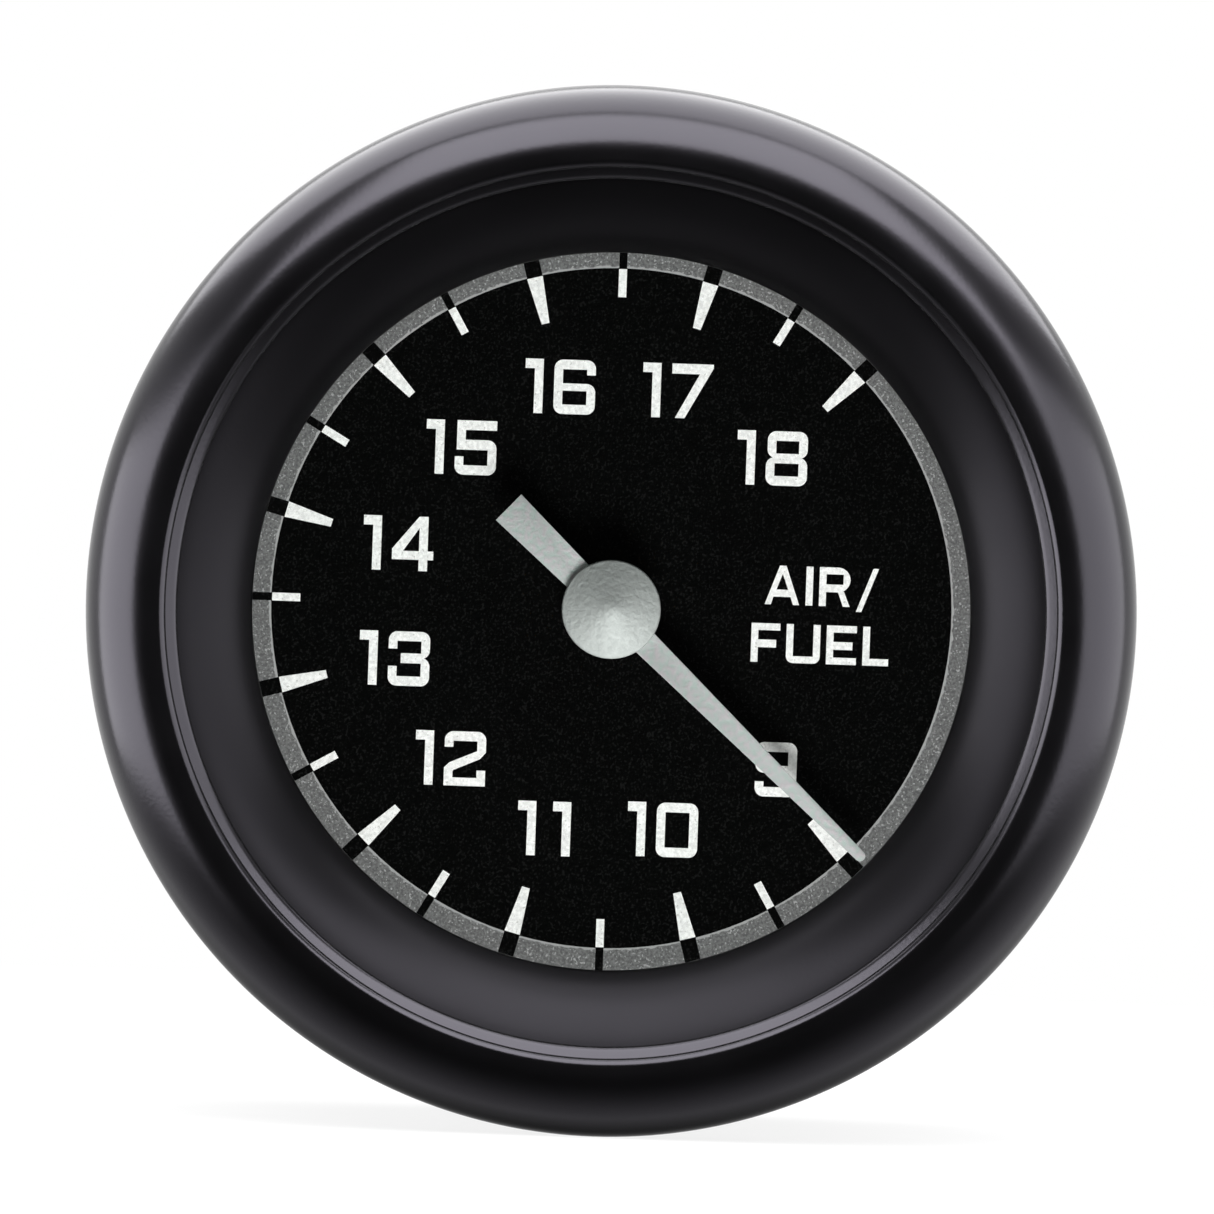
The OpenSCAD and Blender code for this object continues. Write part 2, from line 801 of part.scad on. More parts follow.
// Where a letter starts: the widths and gaps of those before it
function letter_start(line, i) =
    i == 0 ? 0 : letter_start(line, i - 1) + line[i - 1][1] * letter_h + letter_gap;
function line_w(line) = letter_start(line, len(line)) - letter_gap;

module lettering(line) {
    translate([legend_x - line_w(line) / 2, -letter_h / 2])
        for (i = [0:len(line) - 1]) translate([letter_start(line, i), 0])
            letter(line[i][0], line[i][1] * letter_h);
}

module legend() {
    color("#e6e6e6") facing_front() raise(dial_z) linear_extrude(print_t) {
        translate([0, legend_spacing / 2]) lettering(line_one);
        translate([0, -legend_spacing / 2]) lettering(line_two);
    }
}

module light_guide() {
    color([0.9, 0.95, 1, 0.5]) facing_front()
        raise(guide_z) ring(dial_r, guide_hole_r, guide_t);
}

module reflector() {
    color("#f2f2ee") facing_front() {
        raise(board_z) {
            ring(reflector_r, reflector_r - reflector_base_w, reflector_h);
            ring(reflector_tube_r, guide_hole_r, reflector_h);
            for (i = [0:lamp_count - 1]) rotate(i * 360 / lamp_count)
                translate([reflector_tube_r - overlap, -reflector_spoke_w / 2, 0])
                    cube([reflector_r - reflector_base_w - reflector_tube_r + 2 * overlap,
                        reflector_spoke_w, reflector_h]);
        }
        raise(guide_z - overlap) ring(reflector_r, reflector_r - reflector_wall,
            guide_t + dial_t + overlap);
        for (i = [0:1]) rotate(45 + i * 180) translate([peg_circle_r, 0, board_back_z])
            cylinder(r = peg_r, h = board_t + overlap);
    }
}

// Places its child at each lamp, halfway between two of the reflector's spokes
module at_lamps() {
    for (i = [0:lamp_count - 1]) rotate((i + 0.5) * 360 / lamp_count)
        translate([lamp_circle_r, 0, 0]) children();
}

module lamps() {
    color("#fff6d0") facing_front() raise(board_z) at_lamps() {
        translate([-lamp_l / 2, -lamp_w / 2, 0]) cube([lamp_l, lamp_w, lamp_h]);
        raise(lamp_h - overlap) cylinder(r = lamp_window_r, h = lamp_window_h + overlap);
    }
}

// Places its child at each of the four posts that carry the coil pins
module at_posts() {
    for (i = [0:3]) rotate(45 + i * 90) translate([post_circle_r, 0, 0]) children();
}

module main_board() {
    color("#0f5a33") facing_front() raise(board_back_z) difference() {
        cylinder(r = board_r, h = board_t);
        raise(-overrun) {
            cylinder(r = nose_r + nose_board_gap, h = board_t + 2 * overrun);
            for (i = [0:1]) rotate(45 + i * 180) translate([peg_circle_r, 0, 0])
                cylinder(r = peg_r + close_gap, h = board_t + 2 * overrun);
            at_posts() cylinder(r = coil_pin_r + close_gap, h = board_t + 2 * overrun);
        }
    }
}

// Flat chips on a board, given in shares of the board's radius
module chips(shares, radius, z, t) {
    for (c = shares * radius)
        translate([c[0] - c[2] / 2, c[1] - c[3] / 2, z]) cube([c[2], c[3], t]);
}

module main_board_chips() {
    color("#1a1a1a") facing_front()
        chips(main_chip_shares, board_r, board_back_z - main_chip_t, main_chip_t);
}

module needle() {
    color("#b8bcbc") facing_front() rotate(scale_start) raise(pointer_z)
        linear_extrude(pointer_t) difference() {
            union() {
                polygon([
                    [0, -pointer_root_w / 2], [pointer_l - pointer_tip_w / 2, -pointer_tip_w / 2],
                    [pointer_l - pointer_tip_w / 2, pointer_tip_w / 2], [0, pointer_root_w / 2]
                ]);
                translate([pointer_l - pointer_tip_w / 2, 0]) circle(pointer_tip_w / 2);
                polygon([
                    [0, -tail_root_w / 2], [0, tail_root_w / 2],
                    [-tail_l, tail_end_w / 2], [-tail_l, -tail_end_w / 2]
                ]);
                circle(collet_foot_r);
            }
            circle(collet_neck_r);
        }
}

module hub_cap() {
    color("#c4c8c8") facing_front() raise(pointer_top_z) difference() {
        rotate_extrude() polygon([
            [0, 0], [hub_r, 0], [hub_r, hub_rim_h], [hub_tip_r, hub_rim_h + hub_cone_h],
            [0, hub_rim_h + hub_cone_h]
        ]);
        raise(-overrun) cylinder(r = collet_neck_r, h = collet_rise + overrun);
    }
}

module needle_collet() {
    color("#d8b45a") facing_front() difference() {
        union() {
            raise(collet_foot_z) cylinder(r = collet_foot_r, h = pointer_z - collet_foot_z);
            raise(pointer_z - overlap)
                cylinder(r = collet_neck_r, h = pointer_t + collet_rise + overlap);
        }
        raise(collet_foot_z - overrun)
            cylinder(r = spindle_r, h = spindle_top_z - collet_foot_z + overrun);
    }
}

module spindle() {
    bottom = move_z - chamber_h / 2 - pivot_depth;
    color("#c9cdd2") facing_front()
        raise(bottom) cylinder(r = spindle_r, h = spindle_top_z - bottom);
}

module rotor_magnet() {
    color("#4c4c50") facing_front()
        raise(move_z - rotor_t / 2) ring(rotor_r, spindle_r, rotor_t);
}

module stop_arm() {
    color("#8f9398") facing_front() rotate(scale_start) raise(stop_arm_z) difference() {
        union() {
            translate([0, -stop_arm_w / 2, 0]) cube([stop_arm_l, stop_arm_w, stop_arm_t]);
            cylinder(r = 2 * spindle_r, h = stop_arm_t);
        }
        raise(-overrun) cylinder(r = spindle_r, h = stop_arm_t + 2 * overrun);
    }
}

module bobbin_front() {
    color("#2f3b46") facing_front() {
        difference() {
            union() {
                raise(move_z) cylinder(r = bobbin_r, h = bobbin_half);
                raise(move_z + bobbin_half - overlap)
                    cylinder(r = nose_r, h = nose_top_z - move_z - bobbin_half + overlap);
                for (i = [0:3]) rotate(45 + i * 90)
                    translate([bobbin_r - bobbin_wall / 2, -post_web_w / 2, move_z])
                        cube([post_circle_r - bobbin_r + bobbin_wall / 2, post_web_w,
                            bobbin_half]);
                at_posts() raise(move_z) cylinder(r = post_r, h = board_back_z - move_z);
            }
            raise(move_z - overrun) cylinder(r = chamber_r, h = chamber_h / 2 + overrun);
            raise(move_z) cylinder(r = spindle_r + loose_gap, h = nose_top_z - move_z);
            raise(nose_top_z - bearing_l) cylinder(r = bearing_r, h = bearing_l + overrun);
            at_posts() raise(board_back_z - coil_pin_sink)
                cylinder(r = coil_pin_r, h = coil_pin_sink + overrun);
        }
        stop_block();
    }
}

// The block in the chamber's roof that the stop arm meets at each end of its travel
module stop_block() {
    top = move_z + chamber_h / 2;
    depth = chamber_h / 2 - rotor_t / 2 - stop_gap;
    rotate(-stop_block_span / 2) raise(top - depth)
        rotate_extrude(angle = stop_block_span)
            slab(stop_block_in_r, 0, chamber_r + overlap, depth + overlap);
}

module bobbin_rear() {
    color("#2f3b46") facing_front() difference() {
        raise(move_z - bobbin_half) cylinder(r = bobbin_r, h = bobbin_half);
        raise(move_z - chamber_h / 2) cylinder(r = chamber_r, h = chamber_h);
        raise(move_z - chamber_h / 2 - jewel_t) cylinder(r = jewel_r, h = chamber_h);
    }
}

// One winding's two loops, which pass on either side of the spindle
module coil(reach, half) {
    for (side = [-1, 1]) translate([side * (coil_start + coil_w / 2), 0, move_z])
        difference() {
            cube([coil_w, 2 * (reach + coil_t), 2 * (half + coil_t)], center = true);
            cube([coil_w + 2 * overrun, 2 * reach, 2 * half], center = true);
        }
}

module inner_coil() {
    color("#b5652a") facing_front() coil(inner_reach, inner_half);
}

module outer_coil() {
    color("#a3541f") facing_front() rotate(90) coil(inner_reach, outer_half);
}

module front_bearing() {
    color("#b98d3e") facing_front() raise(nose_top_z - bearing_l)
        ring(bearing_r, spindle_r + spindle_gap, bearing_l);
}

module pivot_jewel() {
    top = move_z - chamber_h / 2;
    color("#8c1f3a") facing_front() difference() {
        raise(top - jewel_t) cylinder(r = jewel_r, h = jewel_t);
        raise(top - pivot_depth - spindle_gap)
            cylinder(r = spindle_r + spindle_gap, h = pivot_depth + overrun);
    }
}

module shield_can() {
    color("#9aa0a6") facing_front() difference() {
        raise(can_floor_z - can_t)
            cylinder(r = can_r, h = board_back_z - close_gap - can_floor_z + can_t);
        raise(can_floor_z) cylinder(r = can_in_r, h = board_z - can_floor_z);
    }
}

module coil_pins() {
    color("#d9c27a") facing_front() raise(board_back_z - coil_pin_sink)
        at_posts() cylinder(r = coil_pin_r, h = coil_pin_sink + board_t + coil_pin_rise);
}

// Six pins with a block at each end, from the main board back to the rear board
module link_header() {
    span = board_back_z - controller_z;
    color("#26262a") facing_front() raise(controller_z)
        for (end = [0, span - header_block_h])
            translate([-header_pins * pin_spacing / 2, header_y - header_block_w / 2, end])
                cube([header_pins * pin_spacing, header_block_w, header_block_h]);
    color("#d9c27a") facing_front() raise(controller_z + header_block_h - overlap)
        for (i = [0:header_pins - 1])
            translate([(i - (header_pins - 1) / 2) * pin_spacing - pin_w / 2,
                header_y - pin_w / 2, 0])
                cube([pin_w, pin_w, span - 2 * header_block_h + 2 * overlap]);
}

// Places its child at each post that carries the rear board
module at_standoffs() {
    for (a = standoff_angles) rotate(a) translate([standoff_circle_r, 0, 0]) children();
}

module controller_board() {
    color("#0f5a33") facing_front() raise(controller_back_z) difference() {
        cylinder(r = controller_r, h = board_t);
        raise(-overrun) at_standoffs()
            cylinder(r = screw_r + 2 * close_gap, h = board_t + 2 * overrun);
    }
}

module controller_chips() {
    color("#1a1a1a") facing_front() {
        chips(rear_chip_shares, controller_r, controller_z, rear_chip_t);
        rotate(capacitor_angle)
            translate([can_r + capacitor_gap + capacitor_r, 0, controller_z])
            cylinder(r = capacitor_r, h = capacitor_h);
    }
}

module board_screws() {
    color("#b0b4b8") facing_front() at_standoffs() {
        raise(controller_z) cylinder(r = screw_head_r, h = screw_head_h);
        raise(case_floor_z + screw_end_gap)
            cylinder(r = screw_r, h = controller_z - case_floor_z - screw_end_gap + overlap);
    }
}

// A block the size of the connector, for the shroud and the hole that it passes
module connector_block(extra, z0, z1) {
    translate([-shroud_w / 2 - extra, connector_y - shroud_h / 2 - extra, z0])
        linear_extrude(z1 - z0)
            rounded(shroud_w + 2 * extra, shroud_h + 2 * extra, shroud_corner_r + extra);
}

// Places its child at both studs
module at_studs() {
    for (side = [-1, 1]) translate([side * stud_x, 0, 0]) children();
}

module case() {
    color("#1b1c1e") facing_front() difference() {
        union() {
            raise(case_back_z) cylinder(r = case_r, h = seat_z - case_back_z);
            raise(gasket_t) cylinder(r = flange_r, h = flange_t);
        }
        difference() {
            raise(case_floor_z) cylinder(r = case_in_r, h = seat_z - case_floor_z + overrun);
            for (i = [0:3]) rotate(i * 90)
                translate([rib_in_r, -rib_w / 2, case_floor_z - overrun])
                    cube([case_r - rib_in_r, rib_w, board_back_z - case_floor_z + overrun]);
            at_standoffs() raise(case_floor_z - overrun)
                cylinder(r = standoff_r, h = standoff_h + overrun);
        }
        at_standoffs() raise(case_floor_z + screw_end_gap)
            cylinder(r = screw_r + close_gap, h = standoff_h);
        at_studs() raise(case_back_z - overrun)
            cylinder(r = stud_r + close_gap, h = case_base_t + 2 * overrun);
        connector_block(connector_gap, case_back_z - overrun, case_floor_z + overrun);
    }
}

// Places its child at every pin of the connector
module at_pins() {
    for (column = [0:pin_columns - 1], row = [0:pin_rows - 1])
        translate([(column - (pin_columns - 1) / 2) * pin_spacing,
            connector_y + (row - (pin_rows - 1) / 2) * pin_spacing, 0]) children();
}

module square_pin(z0, z1) {
    translate([-pin_w / 2, -pin_w / 2, z0]) cube([pin_w, pin_w, z1 - z0]);
}

module connector_housing() {
    top = connector_y + shroud_h / 2;
    color("#24262a") facing_front() difference() {
        union() {
            connector_block(0, shroud_mouth_z, controller_back_z);
            translate([-latch_w / 2, top - overlap, case_back_z - shroud_l / 2])
                cube([latch_w, latch_h + overlap, latch_l]);
        }
        connector_block(-shroud_wall, shroud_mouth_z - overrun, shroud_floor_z);
        at_pins() square_pin(shroud_floor_z - overrun, controller_back_z + overrun);
    }
}

module connector_pins() {
    color("#d9c27a") facing_front() at_pins() square_pin(pin_tip_z, controller_back_z);
}

module mounting_studs() {
    color("#c0a860") facing_front() at_studs() {
        raise(case_back_z - stud_l) cylinder(r = stud_r, h = case_floor_z - case_back_z + stud_l
            + overlap);
        raise(case_floor_z) cylinder(r = stud_head_r, h = stud_head_h);
    }
}

// Quarter of a bend in the bracket, from the strip up into a leg
module clamp_bend() {
    intersection() {
        difference() {
            circle(clamp_bend_r);
            circle(clamp_bend_r - clamp_t);
        }
        translate([0, -clamp_bend_r]) square(clamp_bend_r);
    }
}

// The bracket's outline seen from above: two legs and the strip that joins them
module clamp_outline() {
    bend_x = clamp_out_x - clamp_bend_r;
    bend_z = clamp_back_z + clamp_bend_r;
    slab(-bend_x - overlap, clamp_back_z, bend_x + overlap, clamp_back_z + clamp_t);
    for (side = [0, 1]) mirror([side, 0]) {
        slab(clamp_in_x, bend_z - overlap, clamp_out_x, -panel_t);
        translate([bend_x, bend_z]) clamp_bend();
    }
}

module clamp_bracket() {
    color("#a9adb2") facing_front() difference() {
        rotate([90, 0, 0]) raise(-clamp_w / 2) linear_extrude(clamp_w) clamp_outline();
        at_studs() raise(clamp_back_z - overrun)
            cylinder(r = stud_r + free_gap, h = clamp_t + 2 * overrun);
    }
}

module lock_washers() {
    color("#9da1a6") facing_front() at_studs()
        raise(washer_back_z) ring(washer_r, stud_r + free_gap, washer_t);
}

// A thumb nut: a knurled head with a chamfer and a collar towards the washer
module thumb_nut() {
    head_r = nut_d / 2;
    head_h = nut_h - nut_collar_h;
    color("#c8a64b") facing_front() raise(washer_back_z - nut_h) difference() {
        rotate_extrude() polygon([
            [0, 0], [head_r - nut_chamfer, 0], [head_r, nut_chamfer],
            [head_r, head_h - nut_chamfer], [head_r - nut_chamfer, head_h],
            [nut_collar_r, head_h], [nut_collar_r, nut_h], [0, nut_h]
        ]);
        raise(-overrun) cylinder(r = stud_r + close_gap, h = nut_h + 2 * overrun);
    }
}

module thumb_nut_left() {
    translate([-stud_x, 0, 0]) thumb_nut();
}

module thumb_nut_right() {
    translate([stud_x, 0, 0]) thumb_nut();
}

bezel();
bezel_gasket();
lens();
lens_seal();
spacer_ring();
dial_plate();
chapter_ring();
major_ticks();
minor_ticks();
numerals();
legend();
light_guide();
reflector();
lamps();
main_board();
main_board_chips();
needle();
hub_cap();
needle_collet();
spindle();
rotor_magnet();
stop_arm();
bobbin_front();
bobbin_rear();
inner_coil();
outer_coil();
front_bearing();
pivot_jewel();
shield_can();
coil_pins();
link_header();
controller_board();
controller_chips();
board_screws();
case();
connector_housing();
connector_pins();
mounting_studs();
clamp_bracket();
lock_washers();
thumb_nut_left();
thumb_nut_right();
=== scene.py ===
"""Dresses the solids of a round dash gauge with finished pieces, materials and a stage.

The gauge looks towards -Y, its dial is upright along +Z, and the origin is on its axis
in the plane of the panel's front face. Every piece keeps that place in its own mesh.
"""

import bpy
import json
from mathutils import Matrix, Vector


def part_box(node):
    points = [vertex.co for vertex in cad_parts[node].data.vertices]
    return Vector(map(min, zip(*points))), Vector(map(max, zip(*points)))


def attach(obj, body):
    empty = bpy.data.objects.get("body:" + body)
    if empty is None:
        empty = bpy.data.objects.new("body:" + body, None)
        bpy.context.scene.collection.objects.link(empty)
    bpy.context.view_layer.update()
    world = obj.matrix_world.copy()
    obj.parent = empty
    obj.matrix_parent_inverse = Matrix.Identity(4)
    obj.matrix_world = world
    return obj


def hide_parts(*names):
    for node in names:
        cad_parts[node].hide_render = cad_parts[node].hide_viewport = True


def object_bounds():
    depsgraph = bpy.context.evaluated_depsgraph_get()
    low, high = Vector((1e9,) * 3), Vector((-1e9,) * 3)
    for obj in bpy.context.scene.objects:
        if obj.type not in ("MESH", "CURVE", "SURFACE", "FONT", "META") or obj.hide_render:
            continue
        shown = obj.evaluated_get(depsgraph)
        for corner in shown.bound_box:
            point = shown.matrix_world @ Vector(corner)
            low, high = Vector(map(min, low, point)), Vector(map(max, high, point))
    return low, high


bl_info = {
    "name": "Air Fuel Ratio Gauge",
    "version": (1, 0, 0),
    "blender": (4, 5, 0),
    "location": "3D View > Sidebar > Gauge",
    "description": "Finished pieces, materials and a studio stage for a dash gauge",
    "category": "Object",
}

import json
import math

import bmesh
import bpy
from bpy.props import FloatProperty, FloatVectorProperty, IntProperty, PointerProperty
from mathutils import Matrix, Vector

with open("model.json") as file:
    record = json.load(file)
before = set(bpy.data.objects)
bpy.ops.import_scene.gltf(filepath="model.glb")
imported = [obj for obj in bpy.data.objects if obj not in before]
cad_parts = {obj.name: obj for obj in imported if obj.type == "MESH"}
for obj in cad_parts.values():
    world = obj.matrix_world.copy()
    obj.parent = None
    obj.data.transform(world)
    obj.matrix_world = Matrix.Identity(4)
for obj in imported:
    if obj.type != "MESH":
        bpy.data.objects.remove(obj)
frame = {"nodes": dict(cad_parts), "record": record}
CAD_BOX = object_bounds()

MM = 0.001
# Points closer than this are one point
JOIN = 0.0005 * MM
# Faces that meet at less than this angle are shaded as one curve
CURVE_ANGLE = math.radians(32)
QUARTER = math.pi / 2
# How far each stud is from the gauge's axis
STUD_X = 16 * MM
# How tall the plug socket is without its latch
SHROUD_HEIGHT = 9.2 * MM

BODY_OF = {
    node: body
    for body, nodes in frame["record"]["behaviour"]["bodies"].items()
    for node in nodes
}


# Colour and node helpers


def linear(code):
    """The linear colour, with full alpha, of an sRGB hex value."""
    parts = [int(code[i : i + 2], 16) / 255 for i in (1, 3, 5)]
    return (
        *[p / 12.92 if p <= 0.04045 else ((p + 0.055) / 1.055) ** 2.4 for p in parts],
        1.0,
    )


def scaled(shade, *factors):
    """The colour with its parts multiplied by one factor, or by one each."""
    factors = factors * 3 if len(factors) == 1 else factors
    return [part * factor for part, factor in zip(shade, factors)] + [1]


def add(tree, kind, feeds=(), out=None, stops=(), **settings):
    """Adds a shader node, and returns its output named out, or else its first in use.

    feeds holds its inputs' values or the outputs that feed them. stops holds a ramp's
    positions, each with a hex value, a grey or a linear colour.
    """
    node = tree.nodes.new("ShaderNode" + kind)
    for name, value in settings.items():
        setattr(node, name, value)
    for key, value in dict(feeds).items():
        if isinstance(value, bpy.types.NodeSocket):
            tree.links.new(value, node.inputs[key])
        else:
            node.inputs[key].default_value = value
    if stops:
        elements = node.color_ramp.elements
        while len(elements) < len(stops):
            elements.new(0.5)
        for element, (position, shade) in zip(elements, stops):
            if isinstance(shade, str):
                shade = linear(shade)
            elif isinstance(shade, (int, float)):
                shade = (shade, shade, shade, 1)
            element.position, element.color = position, shade
    in_use = [output for output in node.outputs if output.enabled]
    return node.outputs[out] if out else (in_use or [None])[0]


def speckle(tree, size, detail=2.0, stretch=(1, 1, 1)):
    """Noise with grains about as wide as size, on the piece's own coordinates."""
    place = add(tree, "TexCoord", out="Object")
    place = add(tree, "Mapping", {"Vector": place, "Scale": stretch})
    feeds = {"Vector": place, "Scale": 0.5 / size, "Detail": detail}
    return add(tree, "TexNoise", feeds)


def mottled(size, *stops, detail=2.0):
    """A function of the tree: grains of the given size that pass through the stops."""
    return lambda tree: add(
        tree, "ValToRGB", {"Fac": speckle(tree, size, detail)}, stops=stops
    )


def rays(tree, *kinds):
    """1 for rays of the given kinds, as Light Path names them, and 0 for all others."""
    share = add(tree, "LightPath", out=kinds[0])
    for kind in kinds[1:]:
        feeds = {0: share, 1: add(tree, "LightPath", out=kind)}
        share = add(tree, "Math", feeds, operation="MAXIMUM")
    return share


def blank(name):
    """A new material with an empty node tree, and that tree."""
    material = bpy.data.materials.new(name)
    material.use_nodes = True
    material.node_tree.nodes.clear()
    return material, material.node_tree


def finish(name, colour, roughness, bump=None, depth=0.0, **constants):
    """A Principled material: colour, roughness and bump are functions of its tree."""
    material, tree = blank(name)
    feeds = {"Base Color": colour(tree), "Roughness": roughness(tree)}
    if bump:
        height = {"Height": bump(tree), "Distance": depth, "Strength": 1.0}
        feeds["Normal"] = add(tree, "Bump", height)
    for key, value in constants.items():
        feeds[key.replace("_", " ")] = value
    shader = add(tree, "BsdfPrincipled", feeds)
    add(tree, "OutputMaterial", {"Surface": shader})
    return material


# Sizes and colours that a user would change


def span(node, axis):
    """How far a CAD node reaches from the gauge's axis or the panel's face."""
    low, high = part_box(node)
    return max(abs(low[axis]), abs(high[axis]))


def round_size(node):
    """The radius of a round CAD node, and where it ends behind and in front."""
    low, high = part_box(node)
    return high.x, -high.y, -low.y


def length(label, note, default):
    """A length in metres that the sidebar can change."""
    return FloatProperty(
        name=label,
        description=note,
        default=default,
        min=0.0,
        max=0.2,
        unit="LENGTH",
        precision=5,
    )


def count(label, note, default, low, high):
    """A number of like features that the sidebar can change."""
    return IntProperty(
        name=label, description=note, default=default, min=low, max=high
    )


def colour(label, note, default):
    """A colour that the sidebar can change."""
    return FloatVectorProperty(
        name=label,
        description=note,
        default=linear(default),
        size=4,
        min=0,
        max=1,
        subtype="COLOR",
    )


class GaugeSizes(bpy.types.PropertyGroup):
    """Sizes of the finished pieces."""

    bezel_radius: length(
        "Bezel radius", "Outside radius of the bezel", span("bezel", 0)
    )
    bezel_height: length(
        "Bezel height", "Height of the bezel's crest above the panel", span("bezel", 1)
    )
    outer_round: length(
        "Outer round", "Radius of the bezel's outer edge", 3.75 * MM
    )
    bead_radius: length("Bead radius", "Radius of each fine round", 0.5 * MM)
    bead_pitch: length("Bead pitch", "Distance between the two rounds", 0.67 * MM)
    crest_flat: length("Crest flat", "Flat on top of the crest", 0.41 * MM)
    funnel_width: length("Funnel width", "From the rounds in to the opening", 4.27 * MM)
    funnel_curve: length("Funnel curve", "Radius of the funnel's curve", 7 * MM)
    funnel_slope: FloatProperty(
        name="Funnel slope",
        description="Slope of the funnel at its outer end",
        default=math.radians(12),
        subtype="ANGLE",
    )
    lip_edge: length("Lip edge", "Straight edge around the opening", 0.35 * MM)
    skirt_wall: length("Skirt wall", "Wall outside the case flange", 1.8 * MM)
    edge_break: length("Edge break", "Chamfer at the foot of the bezel", 0.2 * MM)
    turning_steps: count(
        "Turning steps", "Faces around the large turned pieces", 288, 48, 720
    )
    pointer_bevel: length("Pointer bevel", "Bevel along the pointer", 0.07 * MM)
    thread_pitch: length("Thread pitch", "Pitch of the studs' thread", 0.7 * MM)
    knurl_count: count("Knurl count", "Ridges around each thumb nut", 54, 12, 120)
    washer_teeth: count("Washer teeth", "Teeth around each lock washer", 12, 6, 24)


class GaugeColours(bpy.types.PropertyGroup):
    """Colours of what shows most."""

    bezel: colour("Bezel", "Black anodised ring", "#020202")
    dial: colour("Dial", "Black of the dial", "#020202")
    ring: colour("Grey ring", "Printed ring around the dial", "#6a6a6a")
    print_white: colour("Print", "Numerals, letters and ticks", "#f3f3f1")
    pointer: colour("Pointer", "Silver paint of the pointer", "#b0b3b2")
    hub: colour("Hub cap", "Turned cap over the spindle", "#bcc0be")


# Modelling helpers


def arc(centre_r, centre_f, radius, start, end, steps):
    """Points of an arc, as radius from the axis and height in front of the panel."""
    return [
        (centre_r + radius * math.sin(a), centre_f + radius * math.cos(a))
        for a in (start + (end - start) * i / steps for i in range(steps + 1))
    ]


def soft_box(inner, outer, back, front, edge, steps=4):
    """The section of a plain ring with its four edges rounded."""
    corners = (
        (outer - edge, front - edge),
        (outer - edge, back + edge),
        (inner + edge, back + edge),
        (inner + edge, front - edge),
    )
    return [
        point
        for i, corner in enumerate(corners)
        for point in arc(*corner, edge, i * QUARTER, (i + 1) * QUARTER, steps)
    ]


def off_axis(point):
    """How far a point is from the gauge's axis."""
    return math.hypot(point.x, point.z)


def select(*pieces):
    """Selects these pieces alone, since operators act on all that is selected."""
    if bpy.context.mode != "OBJECT":
        edit_mode(False)
    bpy.ops.object.select_all(action="DESELECT")
    for piece in reversed(pieces):
        piece.select_set(True)
        bpy.context.view_layer.objects.active = piece


def edit_mode(on=True):
    """Opens the active piece in edit mode, or closes it again."""
    bpy.ops.object.mode_set(mode="EDIT" if on else "OBJECT")


def select_all():
    """Selects all of the piece in edit mode."""
    bpy.ops.mesh.select_all(action="SELECT")


def choose(kind, test):
    """Selects what passes the test, in the piece in edit mode."""
    bpy.ops.mesh.select_mode(type=kind)
    bpy.ops.mesh.select_all(action="DESELECT")
    data = bpy.context.edit_object.data
    mesh = bmesh.from_edit_mesh(data)
    for part in {"VERT": mesh.verts, "EDGE": mesh.edges, "FACE": mesh.faces}[kind]:
        if test(part):
            part.select_set(True)
    mesh.select_flush_mode()
    bmesh.update_edit_mesh(data)


def extruded(*offset):
    """Extrudes what is selected, and moves it by the offset."""
    bpy.ops.mesh.extrude_region_move(TRANSFORM_OT_translate={"value": offset})


def stretched(x, y, z, about=(0, 0, 0)):
    """Scales what is selected about a point."""
    bpy.ops.transform.resize(value=(x, y, z), center_override=about)


def welded():
    """Makes doubled points of the piece in edit mode one."""
    select_all()
    bpy.ops.mesh.remove_doubles(threshold=JOIN)


def facing_out():
    """Turns all faces of the piece in edit mode outwards."""
    select_all()
    bpy.ops.mesh.normals_make_consistent(inside=False)


def named(name):
    """Names the piece that was just added, and returns it."""
    piece = bpy.context.object
    piece.name = piece.data.name = name
    return piece


def smoothed(piece):
    """Shades the piece's curves smooth and keeps its edges."""
    select(piece)
    bpy.ops.object.shade_smooth_by_angle(angle=CURVE_ANGLE)
    return piece


def pushed_out(name, points):
    """One point pushed from place to place, each a radius and a height in front."""
    select()
    bpy.ops.mesh.primitive_plane_add(size=MM)
    piece = named(name)
    edit_mode()
    bpy.ops.mesh.select_mode(type="VERT")
    bpy.ops.mesh.merge(type="CENTER")
    goals = [Vector((radius, -front, 0)) for radius, front in points]
    bpy.ops.transform.translate(value=goals[0])
    for place, goal in zip(goals, goals[1:]):
        extruded(*(goal - place))
    return piece


def turned(name, points, steps):
    """A ring, or a disc where the section starts on the axis, spun from its section."""
    if points[0][0] > 0:
        points = points + points[:1]
    piece = pushed_out(name, points)
    select_all()
    bpy.ops.mesh.spin(
        steps=steps, angle=2 * math.pi, center=(0, 0, 0), axis=(0, 1, 0)
    )
    welded()
    facing_out()
    edit_mode(False)
    return smoothed(piece)


def placed(name):
    """Names the primitive that was just added, and moves its place into its mesh."""
    piece = named(name)
    bpy.ops.object.transform_apply(location=True, rotation=True, scale=True)
    return piece


def block(name, low, high):
    """A box from one corner to the other."""
    low, high = Vector(low), Vector(high)
    select()
    bpy.ops.mesh.primitive_cube_add(
        size=1, location=(low + high) / 2, scale=high - low
    )
    return placed(name)


def rod(name, radius, back, front, x=0.0, z=0.0, sides=64):
    """A plain round rod along the gauge's axis, for cutting holes."""
    select()
    bpy.ops.mesh.primitive_cylinder_add(
        vertices=sides,
        radius=radius,
        depth=front - back,
        location=(x, -(front + back) / 2, z),
        rotation=(QUARTER, 0, 0),
    )
    return placed(name)


def stud_holes(radius, back, front):
    """The two rods that cut the studs' holes."""
    return [rod("stud_hole", radius, back, front, x) for x in (-STUD_X, STUD_X)]


